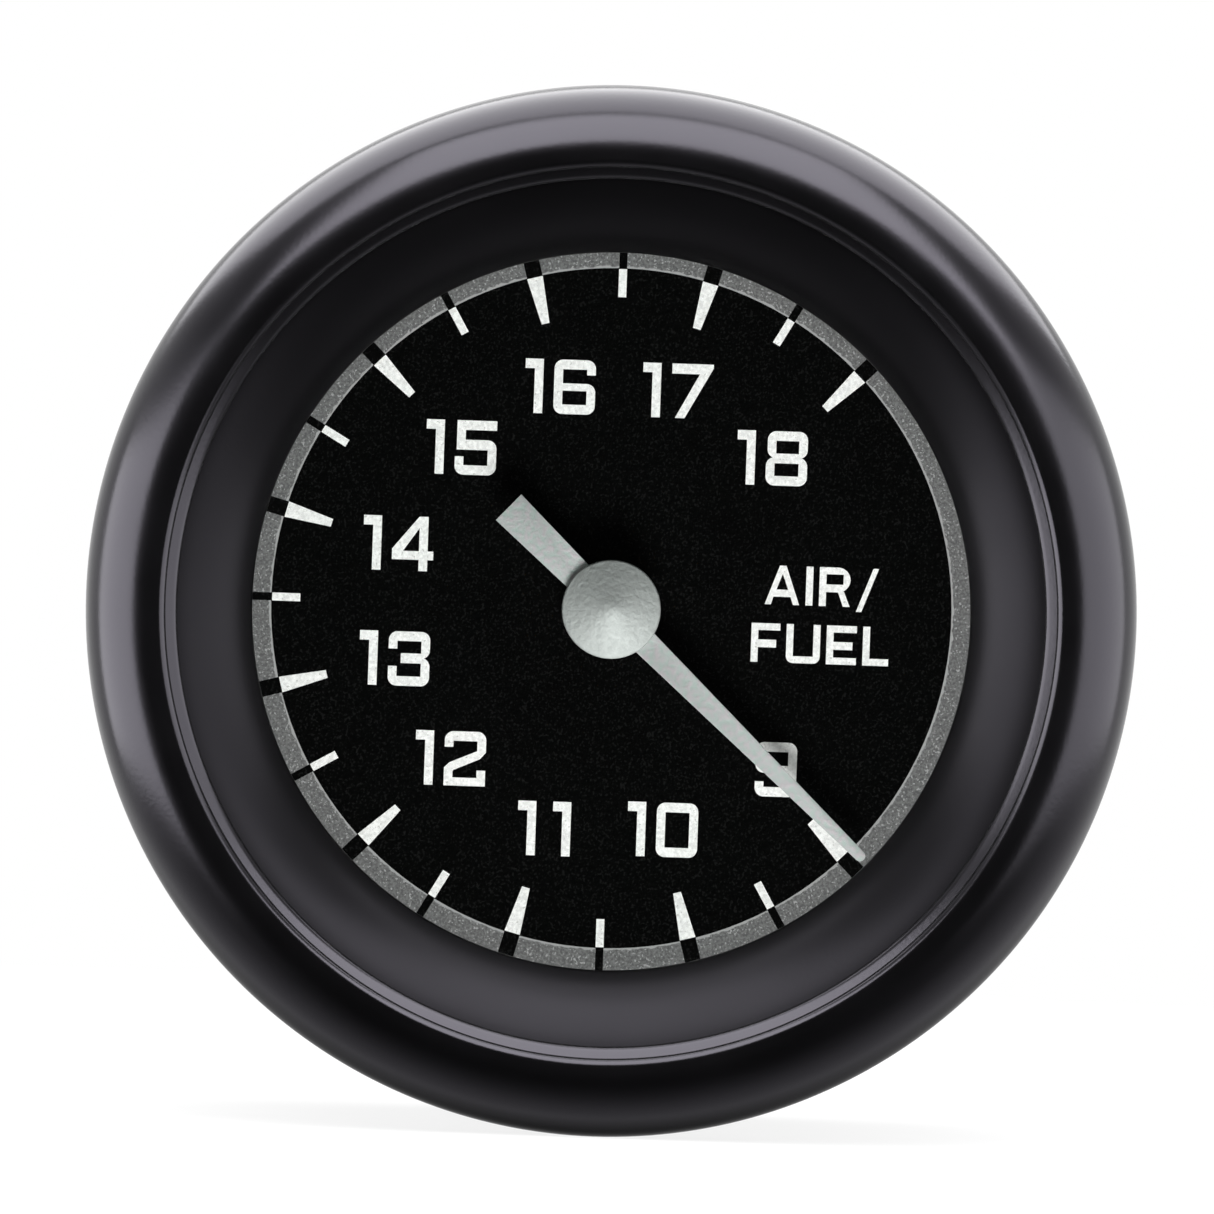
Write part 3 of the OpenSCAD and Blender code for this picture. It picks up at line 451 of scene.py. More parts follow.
def applied(piece, kind, **settings):
    """Adds a modifier with its settings and applies it."""
    select(piece)
    modifier = piece.modifiers.new(kind.title(), kind)
    for key, value in settings.items():
        setattr(modifier, key, value)
    bpy.ops.object.modifier_apply(modifier=modifier.name)


def cut(piece, *tools, operation="DIFFERENCE"):
    """Cuts the piece with each tool, and removes the tools."""
    for tool in tools:
        applied(piece, "BOOLEAN", operation=operation, object=tool, solver="EXACT")
        bpy.data.objects.remove(tool)


def edges_broken(piece, width, segments=2):
    """Rounds the piece's sharp edges."""
    applied(
        piece,
        "BEVEL",
        width=width,
        segments=segments,
        limit_method="ANGLE",
        angle_limit=math.radians(40),
    )
    return smoothed(piece)


def joined(name, *pieces):
    """Makes one piece of several."""
    select(*pieces)
    bpy.ops.object.join()
    return named(name)


def copied(piece, name, x, y=0.0, z=0.0):
    """A copy with its own mesh, moved by the offset in its mesh."""
    select(piece)
    bpy.ops.object.duplicate(linked=False)
    other = named(name)
    other.location = x, y, z
    bpy.ops.object.transform_apply(location=True, rotation=False, scale=False)
    return other


def paired(piece, name):
    """A copy of the piece at each stud as one piece, in place of the first."""
    pair = [copied(piece, name, x) for x in (-STUD_X, STUD_X)]
    bpy.data.objects.remove(piece)
    return joined(name, *pair)


def dressed(piece, node, *materials):
    """The piece stands for a CAD node, rides on its body and takes its materials."""
    piece.data.materials.clear()
    for material in materials:
        piece.data.materials.append(material)
    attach(piece, BODY_OF[node])
    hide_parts(node)


def painted(material, *nodes):
    """Gives CAD nodes, whose shape stays, their material."""
    for node in nodes:
        data = frame["nodes"][node].data
        data.materials.clear()
        data.materials.append(material)


# Materials


# Metals: bright and dull shade, roughness, and the tool lines' width and depth in mm
METALS = {
    # Brass from the lathe: warm yellow with fine rings
    "Brass, turned": ("#d9b25f", "#c29a4b", 0.24, 0.06, 0.002),
    # Brass after rolling and wear: paler and browner
    "Brass, rolled thread": ("#c9b27c", "#b09a68", 0.26, 0.1, 0.002),
    "Brass, knurled": ("#ccb57f", "#b39c69", 0.24, 0.09, 0.003),
    # Steel under zinc: cool pale grey, duller on the pressed strip
    "Steel, zinc plated": ("#c9ccd0", "#b3b7bc", 0.26, 0.08, 0.002),
    "Spring steel, zinc plated": ("#bfc3c7", "#9ea3a8", 0.3, 0.08, 0.003),
    "Steel strip, pressed and zinc plated": ("#a3a7ab", "#8d9297", 0.3, 0.12, 0.004),
    # Gold plate over drawn wire: bright, soft yellow
    "Pins, gold plated": ("#e2c177", "#cfa95c", 0.2, 0.05, 0.001),
    "Contacts, gold plated": ("#e6c67c", "#d3ad60", 0.2, 0.06, 0.001),
}

# Moulded stuff: dark and light shade, roughness, and the grain's width and depth in mm
PLASTICS = {
    # Nitrile rubber: matt, near black, with a dusty bloom
    "Nitrile rubber, moulded": ("#161616", "#1f1f20", 0.72, 0.3, 0.006),
    # ABS: a dead black that throws no light on the dial
    "Moulded ABS, matt black": ("#0d0d0d", "#131313", 0.66, 0.2, 0.004),
    # Ferrite, pressed and sintered: dull dark grey with a dry, sandy tooth
    "Ferrite, sintered": ("#1d1d20", "#2c2c30", 0.6, 0.15, 0.01),
    # Nylon: blue grey and slightly waxy
    "Nylon, moulded": ("#1f2d3a", "#28394a", 0.42, 0.25, 0.004),
    # Polycarbonate, opaque white: milky, with a soft sheen
    "Polycarbonate, moulded white": ("#d9d9d4", "#e6e6e1", 0.4, 0.3, 0.003),
    # Phosphor under clear resin: a warm pale yellow
    "Lamp phosphor under resin": ("#efe09a", "#f6ebb6", 0.2, 0.2, 0.002),
    # Epoxy round a chip: dark grey, finely pitted
    "Epoxy, moulded": ("#1b1b1c", "#252527", 0.5, 0.12, 0.006),
    # PBT: black with a light satin
    "Moulded PBT, header": ("#151618", "#1d1e21", 0.45, 0.3, 0.005),
    "Moulded PBT, black": ("#1b1c1f", "#232428", 0.38, 0.3, 0.006),
    # Glass filled nylon: near black, dry, with a fine spark eroded grain
    "Moulded nylon, black": ("#17181a", "#1f2022", 0.46, 0.35, 0.012),
}


def turned_metal(name):
    """A metal turned, drawn or rolled to size: METALS gives its numbers.

    The eye sees a bright surface with faint tool lines and small clouds of duller
    plating.
    """
    bright, dull, roughness, line, depth = METALS[name]
    return finish(
        name,
        mottled(0.9 * MM, (0.35, dull), (0.65, bright), detail=3),
        mottled(0.5 * MM, (0.3, roughness), (0.7, roughness + 0.14), detail=3),
        lambda tree: speckle(tree, line * MM, stretch=(0.15, 1, 0.15)),
        depth * MM,
        Metallic=1.0,
    )


def moulded_plastic(name):
    """Injection moulded plastic with the tool's grain: PLASTICS gives its numbers.

    The eye sees an even colour, a soft sheen broken up by the grain, and slight clouds.
    """
    dark, light, roughness, grain, depth = PLASTICS[name]
    return finish(
        name,
        mottled(2.5 * MM, (0.3, dark), (0.7, light), detail=3),
        mottled(grain * MM, (0.3, roughness), (0.7, roughness + 0.12)),
        lambda tree: speckle(tree, grain * MM),
        depth * MM,
        IOR=1.5,
        Specular_IOR_Level=0.5,
    )


def anodised_aluminium(name, shade, roughness, gloss):
    """Aluminium, turned, bead blasted and anodised black.

    The eye sees a deep black with a soft, faintly violet sheen and a very fine tooth.
    The blasted grain of 0.03 mm is drawn at 0.12 mm, as coarse as it needs to show.
    """
    grain = 0.12 * MM
    return finish(
        name,
        mottled(grain, (0, shade), (1, scaled(shade, 1.5))),
        mottled(3 * MM, (0.3, roughness - 0.02), (0.7, roughness + 0.02)),
        lambda tree: speckle(tree, grain, 3),
        0.004 * MM,
        IOR=1.5,
        Specular_IOR_Level=gloss,
        Specular_Tint=(0.91, 0.87, 1.0, 1.0),
    )


def screen_ink(name, ink, deep, light, grain, fleck, fleck_share, depth, rim=None):
    """Screen printed ink on a painted plate.

    The eye sees a dry, even colour with a fine grain and scattered lighter flecks of
    pigment. Flecks of about 0.05 mm are drawn at the grain's width so that they show.
    deep and light are the ink's factors in its grain, and rim is a painted highlight's
    radius.
    """
    body = mottled(grain, (0.36, scaled(ink, deep)), (0.64, scaled(ink, light)))
    start = 1 - fleck_share
    spots = mottled(grain * 0.9, (start, 0), (min(start + 0.08, 1), 1), detail=1)

    def colours(tree):
        flecks = spots(tree)
        if rim:
            # A painted highlight: a ragged pale line along the print's inner edge
            place = add(tree, "TexCoord", out="Object")
            flat = {0: place, 1: (1, 0, 1)}
            flat = add(tree, "VectorMath", flat, operation="MULTIPLY")
            radius = add(tree, "VectorMath", {0: flat}, operation="LENGTH")
            inside = {0: radius, 1: rim}
            inside = add(tree, "Math", inside, operation="SUBTRACT")
            ragged = {0: inside, 1: 1 / (0.3 * MM), 2: speckle(tree, 0.2 * MM)}
            ragged = add(tree, "Math", ragged, operation="MULTIPLY_ADD")
            line = add(
                tree,
                "ValToRGB",
                {"Fac": ragged},
                stops=((0.78, 1), (0.92, 0)),
            )
            either = {0: flecks, 1: line}
            flecks = add(tree, "Math", either, operation="MAXIMUM")
        feeds = {"Factor": flecks, 6: body(tree), 7: linear(fleck)}
        return add(tree, "Mix", feeds, data_type="RGBA")

    return finish(
        name,
        colours,
        mottled(grain, (0.3, 0.62), (0.7, 0.74)),
        lambda tree: speckle(tree, grain),
        depth,
        IOR=1.5,
        Specular_IOR_Level=0.02,
    )


def silver_paint(name, shade):
    """Sprayed silver paint on a stamped aluminium pointer.

    The eye sees a pale, slightly green grey whose flakes mottle it in soft spots, some
    greener and some pinker. Flakes of 0.04 mm are drawn at 0.16 mm, so that they show.
    """
    flake = 0.16 * MM
    green, pink = scaled(shade, 0.9, 1.02, 0.97), scaled(shade, 1.08, 0.97, 1.02)
    return finish(
        name,
        mottled(flake, (0.35, green), (0.65, pink), detail=1),
        mottled(flake, (0.3, 0.42), (0.7, 0.55)),
        lambda tree: speckle(tree, flake),
        0.045 * MM,
        IOR=1.45,
        Specular_IOR_Level=0.5,
    )


def etched_aluminium(name, shade):
    """Aluminium, turned and satin etched.

    The eye sees soft light and dark halves with a fine sparkle, and a crisp bright rim.
    """
    return finish(
        name,
        mottled(0.12 * MM, (0, scaled(shade, 0.92)), (1, shade)),
        mottled(0.2 * MM, (0.3, 0.72), (0.7, 0.78)),
        lambda tree: speckle(tree, 0.16 * MM),
        0.05 * MM,
        Metallic=0.8,
    )


def float_glass():
    """Float glass, cut and polished: clear, with the palest green in its thickness.

    Rays towards lamps pass straight through, as glass lets them in.
    """
    material, tree = blank("Float glass, polished")
    tint = mottled(8 * MM, (0.3, "#f7fbf9"), (0.7, "#fdfefd"))(tree)
    feeds = {"Base Color": tint, "Roughness": 0.0, "IOR": 1.52}
    glass = add(tree, "BsdfPrincipled", {**feeds, "Transmission Weight": 1.0})
    clear = add(tree, "BsdfTransparent", {"Color": tint})
    feeds = {0: rays(tree, "Is Shadow Ray"), 1: glass, 2: clear}
    shader = add(tree, "MixShader", feeds)
    add(tree, "OutputMaterial", {"Surface": shader})
    return material


def waves(tree, scale, distortion, direction):
    """Even bands on the piece's own coordinates."""
    place = add(tree, "TexCoord", out="Object")
    feeds = {"Vector": place, "Scale": scale, "Distortion": distortion}
    return add(tree, "TexWave", feeds, bands_direction=direction)


def banded(name, pattern, shades, roughness, depth, **constants):
    """A finish whose colour, roughness and bump all follow one pattern."""

    def ramp(*ends):
        return lambda tree: add(
            tree,
            "ValToRGB",
            {"Fac": pattern(tree)},
            stops=tuple(zip((0, 1), ends)),
        )

    return finish(name, ramp(*shades), ramp(*roughness), pattern, depth, **constants)


def circuit_board():
    """Glass fibre board under green solder mask: the weave shows as a 0.3 mm grid."""

    def weave(tree):
        across, along = (waves(tree, 1000.0, 0.4, axis) for axis in "XZ")
        feeds = {0: across, 1: along}
        return add(tree, "Math", feeds, operation="MULTIPLY")

    return banded(
        "Glass fibre board, green solder mask",
        weave,
        ("#0e4a2a", "#14603a"),
        (0.28, 0.38),
        0.006 * MM,
        IOR=1.5,
    )


def enamelled_wire():
    """Copper wire, enamelled and wound: fine round turns in warm red brown.

    The turns of 0.15 mm wire are drawn 0.3 mm apart, as coarse as they need to show.
    """
    return banded(
        "Copper wire, enamelled and wound",
        lambda tree: waves(tree, 1250.0, 0.2, "DIAGONAL"),
        ("#5a2410", "#c06a34"),
        (0.45, 0.28),
        0.05 * MM,
        Metallic=1.0,
    )


def clear_plastic(name, pale, deep):
    """A clear polished material: bright edges and a faint colour of its own."""
    return finish(
        name,
        mottled(3 * MM, (0.3, pale), (0.7, deep)),
        mottled(1 * MM, (0.3, 0.05), (0.7, 0.12)),
        IOR=1.49,
        Transmission_Weight=0.85,
    )


# Operators, one for each piece or group of like pieces


class GAUGE_OT_bezel(bpy.types.Operator):
    """Turns the bezel: outer round, two fine rounds, funnel, lip and flange pocket"""

    bl_idname = "gauge.bezel"
    bl_label = "Bezel"

    def execute(self, context):
        sizes, colours = context.scene.gauge_sizes, context.scene.gauge_colours
        outer, top = sizes.bezel_radius, sizes.bezel_height
        outer_round, bead = sizes.outer_round, sizes.bead_radius
        slope, curve = sizes.funnel_slope, sizes.funnel_curve
        chamfer = sizes.edge_break
        # Each fine round stands on a short straight wall, and the ledge between the two
        # slopes inward, so it never mirrors the front
        wall, lean = math.radians(64), math.radians(18)
        crest = outer - outer_round
        bead_2 = crest - sizes.crest_flat
        bead_1 = bead_2 - sizes.bead_pitch
        foot_1, foot_2 = (centre - bead * math.sin(wall) for centre in (bead_1, bead_2))
        ledge = foot_2 - bead_1 + bead * math.sin(lean)
        step = top - bead - bead * math.cos(lean) - ledge * math.tan(lean)
        # The funnel curves from the first foot in to the lip around the opening
        centre_r = foot_1 + curve * math.sin(slope)
        centre_f = step - curve * math.cos(slope)
        opening = foot_1 - sizes.funnel_width
        steep = math.asin((centre_r - opening) / curve)
        lip = centre_f + curve * math.cos(steep)
        lip_back = lip - sizes.lip_edge
        back, seat = span("bezel_gasket", 1), 2.4 * MM
        skirt, pocket = outer - sizes.skirt_wall, span("lens", 0) + chamfer
        tiny = 0.05 * MM
        section = (
            arc(centre_r, centre_f, curve, -steep * 0.985, -slope, 30)
            + [(foot_1, step)]
            + arc(bead_1, step, bead, -wall, -lean, 9)
            + [(foot_2, top - bead)]
            + arc(bead_2, top - bead, bead, -wall, 0, 10)
            + arc(crest, top - outer_round, outer_round, 0, QUARTER, 44)
            + [(outer, back + chamfer), (outer - chamfer, back)]
            + [(skirt, back), (skirt, seat), (pocket, seat), (pocket, lip_back)]
            + [(opening + tiny, lip_back), (opening, lip_back + tiny)]
            + [(opening, lip - tiny)]
        )
        piece = turned("bezel_ring", section, sizes.turning_steps)
        # The funnel, with the second finish, is blasted rougher than the rest
        looks = (("satin black", 0.22, 0.55), ("blasted black", 0.34, 0.18))
        finishes = [
            anodised_aluminium("Anodised aluminium, " + name, colours.bezel, *numbers)
            for name, *numbers in looks
        ]
        dressed(piece, "bezel", *finishes)
        for face in piece.data.polygons:
            if off_axis(face.center) < foot_1 - tiny and -face.center.y > lip_back:
                face.material_index = 1
        return {"FINISHED"}


class GAUGE_OT_seals(bpy.types.Operator):
    """Turns the rubber gasket behind the bezel and the seal in front of the lens"""

    bl_idname = "gauge.seals"
    bl_label = "Gasket and seal"

    def execute(self, context):
        steps = context.scene.gauge_sizes.turning_steps // 2
        rubber = moulded_plastic("Nitrile rubber, moulded")
        outer, front = span("bezel_gasket", 0), span("bezel_gasket", 1)
        band = soft_box(26.95 * MM, outer, 0, front, edge=0.25 * MM)
        dressed(turned("gasket_band", band, steps), "bezel_gasket", rubber)
        outer, back, front = round_size("lens_seal")
        band = soft_box(outer - 1.4 * MM, outer, back, front, edge=0.1 * MM)
        dressed(turned("seal_band", band, steps), "lens_seal", rubber)
        return {"FINISHED"}


class GAUGE_OT_glass(bpy.types.Operator):
    """Turns the flat lens with its ground edge"""

    bl_idname = "gauge.glass"
    bl_label = "Lens"

    def execute(self, context):
        steps = context.scene.gauge_sizes.turning_steps // 2
        radius, back, front = round_size("lens")
        ground = 0.2 * MM
        section = (
            [(0, back), (radius - ground, back), (radius, back + ground)]
            + [(radius, front - ground), (radius - ground, front), (0, front)]
        )
        dressed(turned("lens_disc", section, steps), "lens", float_glass())
        return {"FINISHED"}


class GAUGE_OT_spacer(bpy.types.Operator):
    """Turns the spacer between lens and dial, grooved inside against glare"""

    bl_idname = "gauge.spacer"
    bl_label = "Spacer"

    def execute(self, context):
        steps = context.scene.gauge_sizes.turning_steps // 2
        outer, back, front = round_size("spacer_ring")
        inner, groove, grooves = 21.0 * MM, 0.14 * MM, 10
        pitch = (front - back) / grooves
        # Where a ridge and a groove start and end, in pitches, and how deep they are
        profile = ((0, 0), (0.45, 0), (0.55, groove), (0.95, groove))
        section = [(outer, front), (outer, back)]
        section += [
            (inner + depth, back + (i + share) * pitch)
            for i in range(grooves)
            for share, depth in profile
        ]
        section += [(inner, front)]
        plastic = moulded_plastic("Moulded ABS, matt black")
        dressed(turned("spacer_tube", section, steps), "spacer_ring", plastic)
        return {"FINISHED"}


class GAUGE_OT_dial(bpy.types.Operator):
    """Gives the dial plate and everything printed on it their inks"""

    bl_idname = "gauge.dial"
    bl_label = "Dial"

    def execute(self, context):
        colours = context.scene.gauge_colours
        black = screen_ink(
            "Dial plate, sprayed matt black",
            colours.dial,
            deep=0.3,
            light=2.1,
            grain=0.08 * MM,
            fleck="#151515",
            fleck_share=0.42,
            depth=0.002 * MM,
        )
        grey = screen_ink(
            "Ring, screen printed silver grey",
            colours.ring,
            deep=0.72,
            light=1.28,
            grain=0.075 * MM,
            fleck="#a2a2a2",
            fleck_share=0.38,
            depth=0.003 * MM,
            # rim places a painted highlight, a pale line along the ring's inner edge
            rim=19.575 * MM,
        )
        white = screen_ink(
            "Figures, screen printed white",
            colours.print_white,
            deep=0.86,
            light=1.08,
            grain=0.1 * MM,
            fleck="#c6c6c3",
            fleck_share=0.36,
            depth=0.003 * MM,
        )
        painted(black, "dial_plate")
        painted(grey, "chapter_ring")
        painted(white, "major_ticks", "minor_ticks", "numerals", "legend")
        return {"FINISHED"}


class GAUGE_OT_pointer(bpy.types.Operator):
    """Models the flat pointer with its tail, round tip and bevelled edges"""

    bl_idname = "gauge.pointer"
    bl_label = "Pointer"

    def execute(self, context):
        sizes, colours = context.scene.gauge_sizes, context.scene.gauge_colours
        low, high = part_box("needle")
        reach, tail = 20.45 * MM, 8.32 * MM
        root, tip_w, tail_w = 1.62 * MM, 0.6 * MM, 2.07 * MM
        piece = block(
            "pointer_blade", (-tail, low.y, -root / 2), (reach, high.y, root / 2)
        )
        edit_mode()
        select_all()
        bpy.ops.mesh.bisect(plane_co=(0, 0, 0), plane_no=(1, 0, 0))
        for place, width in ((reach, tip_w), (-tail, tail_w)):
            choose("VERT", lambda v: abs(v.co.x - place) < JOIN)
            stretched(1, 1, width / root, about=(place, 0, 0))
        # The tip's two upright edges become its round
        choose(
            "EDGE",
            lambda e: all(abs(v.co.x - reach) < JOIN for v in e.verts)
            and abs(e.verts[0].co.y - e.verts[1].co.y) > JOIN,
        )
        bpy.ops.mesh.bevel(offset=0.49 * tip_w, offset_type="OFFSET", segments=6)
        edit_mode(False)
        cut(piece, rod("bore", 1.0 * MM, -high.y - MM, -low.y + MM, sides=48))
        edges_broken(piece, sizes.pointer_bevel)
        # The photograph shows the pointer a little above the first mark
        piece.rotation_euler.y = math.radians(45 - 2.2)
        bpy.ops.object.transform_apply(location=False, rotation=True, scale=False)
        dressed(piece, "needle", silver_paint("Pointer, silver paint", colours.pointer))
        return {"FINISHED"}


class GAUGE_OT_hub_cap(bpy.types.Operator):
    """Turns the flat cone that covers the pointer's hub"""

    bl_idname = "gauge.hub_cap"
    bl_label = "Hub cap"

    def execute(self, context):
        radius, back, front = round_size("hub_cap")
        rim, edge, tip, tiny = 0.35 * MM, 0.12 * MM, 0.3 * MM, 0.03 * MM
        # The cone's tip is rounded, and the cap is hollow round the spindle
        tip_round, tip_start = 1.57 * MM, 0.06
        neck, rise = 1.0 * MM, 0.8 * MM
        slope = math.atan2(front - back - rim, radius - tip)
        section = (
            [(0, front - tiny)]
            + arc(0, front - 1.6 * MM, tip_round, tip_start, slope, 5)
            + arc(radius - edge, back + rim, edge, slope, QUARTER, 5)
            + [(radius, back + tiny), (radius - tiny, back)]
            + [(neck, back), (neck, back + rise), (0, back + rise)]
        )
        shade = context.scene.gauge_colours.hub
        satin = etched_aluminium("Aluminium, turned and satin etched", shade)
        dressed(turned("hub_cone", section, 128), "hub_cap", satin)
        return {"FINISHED"}


class GAUGE_OT_movement(bpy.types.Operator):
    """Gives the pointer's movement its materials"""

    bl_idname = "gauge.movement"
    bl_label = "Movement"

    def execute(self, context):
        steel = turned_metal("Steel, zinc plated")
        # Synthetic ruby: a deep clear red
        ruby = clear_plastic("Synthetic ruby, polished", "#a8182c", "#7c0f20")
        painted(turned_metal("Brass, turned"), "needle_collet", "front_bearing")
        painted(steel, "spindle", "stop_arm", "shield_can", "board_screws")
        painted(turned_metal("Pins, gold plated"), "coil_pins")
        painted(moulded_plastic("Ferrite, sintered"), "rotor_magnet")
        painted(moulded_plastic("Nylon, moulded"), "bobbin_front", "bobbin_rear")
        painted(ruby, "pivot_jewel")
        painted(enamelled_wire(), "inner_coil", "outer_coil")
        return {"FINISHED"}


class GAUGE_OT_electronics(bpy.types.Operator):
    """Gives the lighting and the circuit boards their materials"""

    bl_idname = "gauge.electronics"
    bl_label = "Lighting and boards"

    def execute(self, context):
        # Acrylic: water clear and faintly blue, with bright edges
        acrylic = clear_plastic("Acrylic, polished", "#e8f0f2", "#dfeaee")
        epoxy = moulded_plastic("Epoxy, moulded")
        painted(acrylic, "light_guide")
        painted(moulded_plastic("Polycarbonate, moulded white"), "reflector")
        painted(moulded_plastic("Lamp phosphor under resin"), "lamps")
        painted(circuit_board(), "main_board", "controller_board")
        painted(epoxy, "main_board_chips", "controller_chips")
        painted(moulded_plastic("Moulded PBT, header"), "link_header")
        return {"FINISHED"}


class GAUGE_OT_case(bpy.types.Operator):
    """Turns the case, and cuts its stud holes and connector opening"""

    bl_idname = "gauge.case"
    bl_label = "Case"

    def execute(self, context):
        flange, back, front = round_size("case")
        barrel, wall, floor = 26.6 * MM, 1.2 * MM, back + 1.8 * MM
        gasket, edge = span("bezel_gasket", 1), 0.8 * MM
        section = (
            [(0, back)]
            + arc(barrel - edge, back + edge, edge, 2 * QUARTER, QUARTER, 6)
            + [(barrel, gasket), (flange, gasket), (flange, front)]
            + [(barrel - wall, front), (barrel - wall, floor), (0, floor)]
        )
        piece = turned("case_shell", section, context.scene.gauge_sizes.turning_steps)
        low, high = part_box("connector_housing")
        gap = 0.05 * MM
        # Ejector pins leave shallow round marks on the moulded back
        marks = ((-9 * MM, -15 * MM), (9 * MM, -15 * MM), (0, -21 * MM))
        cut(
            piece,
            *stud_holes(2.05 * MM, back - MM, floor + MM),
            *[
                rod("ejector_mark", 1.6 * MM, back - MM, back + 0.06 * MM, *place)
                for place in marks
            ],
            block(
                "plug_hole",
                (low.x - gap, -floor - MM, low.z - gap),
                (high.x + gap, -back + MM, low.z + SHROUD_HEIGHT + gap),
            ),
        )
        smoothed(piece)
        dressed(piece, "case", moulded_plastic("Moulded nylon, black"))
        return {"FINISHED"}


class GAUGE_OT_connector(bpy.types.Operator):
    """Models the plug socket: shroud with its latch, and the tapered square pins"""

    bl_idname = "gauge.connector"
    bl_label = "Connector"

    def execute(self, context):
        self.shroud()
        self.pins()
        return {"FINISHED"}

    def shroud(self):
        low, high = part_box("connector_housing")
        wall, corner, depth, sunk = 1.2 * MM, 1.6 * MM, 8.2 * MM, 0.1 * MM
        mouth, roof = high.y, low.z + SHROUD_HEIGHT
        piece = block("socket_shroud", low, (high.x, mouth, roof))
        edit_mode()
        choose("EDGE", lambda e: abs(e.verts[0].co.y - e.verts[1].co.y) > wall)
        bpy.ops.mesh.bevel(offset=corner, offset_type="OFFSET", segments=8)
        choose("FACE", lambda f: f.normal.y > 0.9)
        bpy.ops.mesh.inset(thickness=wall)
        extruded(0, -depth, 0)
        edit_mode(False)
        key = block(
            "socket_key",
            (-0.8 * MM, mouth - depth - sunk, low.z + wall - sunk),
            (0.8 * MM, mouth - 1.2 * MM, low.z + wall + 0.55 * MM),
        )
        latch_back, latch_front = mouth - 5 * MM, mouth - 6.6 * MM
        latch = block(
            "socket_latch",
            (-1.7 * MM, latch_front, roof - sunk),
            (1.7 * MM, latch_back, high.z),
        )
        # The latch's back is a ramp for the plug's catch
        edit_mode()
        choose("VERT", lambda v: v.co.z > high.z - JOIN and v.co.y > latch_back - JOIN)
        bpy.ops.transform.translate(value=(0, -0.9 * MM, 0))
        edit_mode(False)
        cut(piece, latch, key, operation="UNION")
        edges_broken(piece, 0.12 * MM)
        dressed(piece, "connector_housing", moulded_plastic("Moulded PBT, black"))

    def pins(self):
        low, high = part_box("connector_pins")
        width, pitch, taper, tip = 0.64 * MM, 2.54 * MM, 0.6 * MM, 0.45
        top = (low.x + width, high.y - taper, low.z + width)
        first = block("pin", low, top)
        edit_mode()
        choose("FACE", lambda f: f.normal.y > 0.9)
        extruded(0, taper, 0)
        end = (low.x + width / 2, high.y, low.z + width / 2)
        stretched(tip, 1, tip, about=end)
        edit_mode(False)
        edges_broken(first, 0.04 * MM)
        rest = [
            copied(first, "pin", column * pitch, z=row * pitch)
            for row in range(2)
            for column in range(4)
            if row or column
        ]
        pins = joined("socket_pins", first, *rest)
        dressed(pins, "connector_pins", turned_metal("Contacts, gold plated"))


class GAUGE_OT_studs(bpy.types.Operator):
    """Models one threaded stud with the Screw modifier, and copies it"""

    bl_idname = "gauge.studs"
    bl_label = "Mounting studs"

    def execute(self, context):
        low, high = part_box("mounting_studs")
        radius, pitch = 2.0 * MM, context.scene.gauge_sizes.thread_pitch
        end, shoulder, inside = -high.y, -36.9 * MM, -low.y
        head, head_back, edge = 3.4 * MM, inside - 1.5 * MM, 0.15 * MM
        # A metric thread's depth, as a share of its pitch
        depth = 0.5413 * pitch
        spare, turns = 1.6, int((shoulder - end) / pitch) + 4
        # One turn of the thread: crest, flank, root and flank, in pitches
        profile = ((0, 0.0), (0, 0.125), (depth, 0.4375), (depth, 0.6875), (0, 1.0))
        start = end - spare * pitch
        turn = [(radius - sunk, start + share * pitch) for sunk, share in profile]
        thread = pushed_out("thread", turn)
        edit_mode(False)
        applied(
            thread,
            "SCREW",
            axis="Y",
            screw_offset=-pitch,
            iterations=turns,
            steps=36,
            render_steps=36,
            use_merge_vertices=True,
            merge_threshold=JOIN,
        )
        # The thread is trimmed and closed at both ends, and its tip chamfered
        edit_mode()
        welded()
        for place, outwards in ((end, 1), (shoulder, -1)):
            select_all()
            bpy.ops.mesh.bisect(
                plane_co=(0, -place, 0),
                plane_no=(0, outwards, 0),
                use_fill=True,
                clear_outer=True,
                threshold=JOIN,
            )
        welded()
        facing_out()
        edit_mode(False)
        chamfer, room = 0.5 * MM, 0.1 * MM
        tip = [
            (0, end - room),
            (radius - chamfer - room, end - room),
            (radius + room, end + chamfer + room),
            (radius + room, shoulder + MM),
            (0, shoulder + MM),
        ]
        cut(thread, turned("thread_blank", tip, 48), operation="INTERSECT")
        smoothed(thread)
        root = shoulder - 0.2 * MM
        shank = (
            [(0, root), (radius - 0.12 * MM, root), (radius, shoulder)]
            + [(radius, head_back), (head - edge, head_back), (head, head_back + edge)]
            + [(head, inside - edge), (head - edge, inside), (0, inside)]
        )
        stud = joined("stud", thread, turned("shank", shank, 64))
        brass = turned_metal("Brass, rolled thread")
        dressed(paired(stud, "stud_pair"), "mounting_studs", brass)
        return {"FINISHED"}


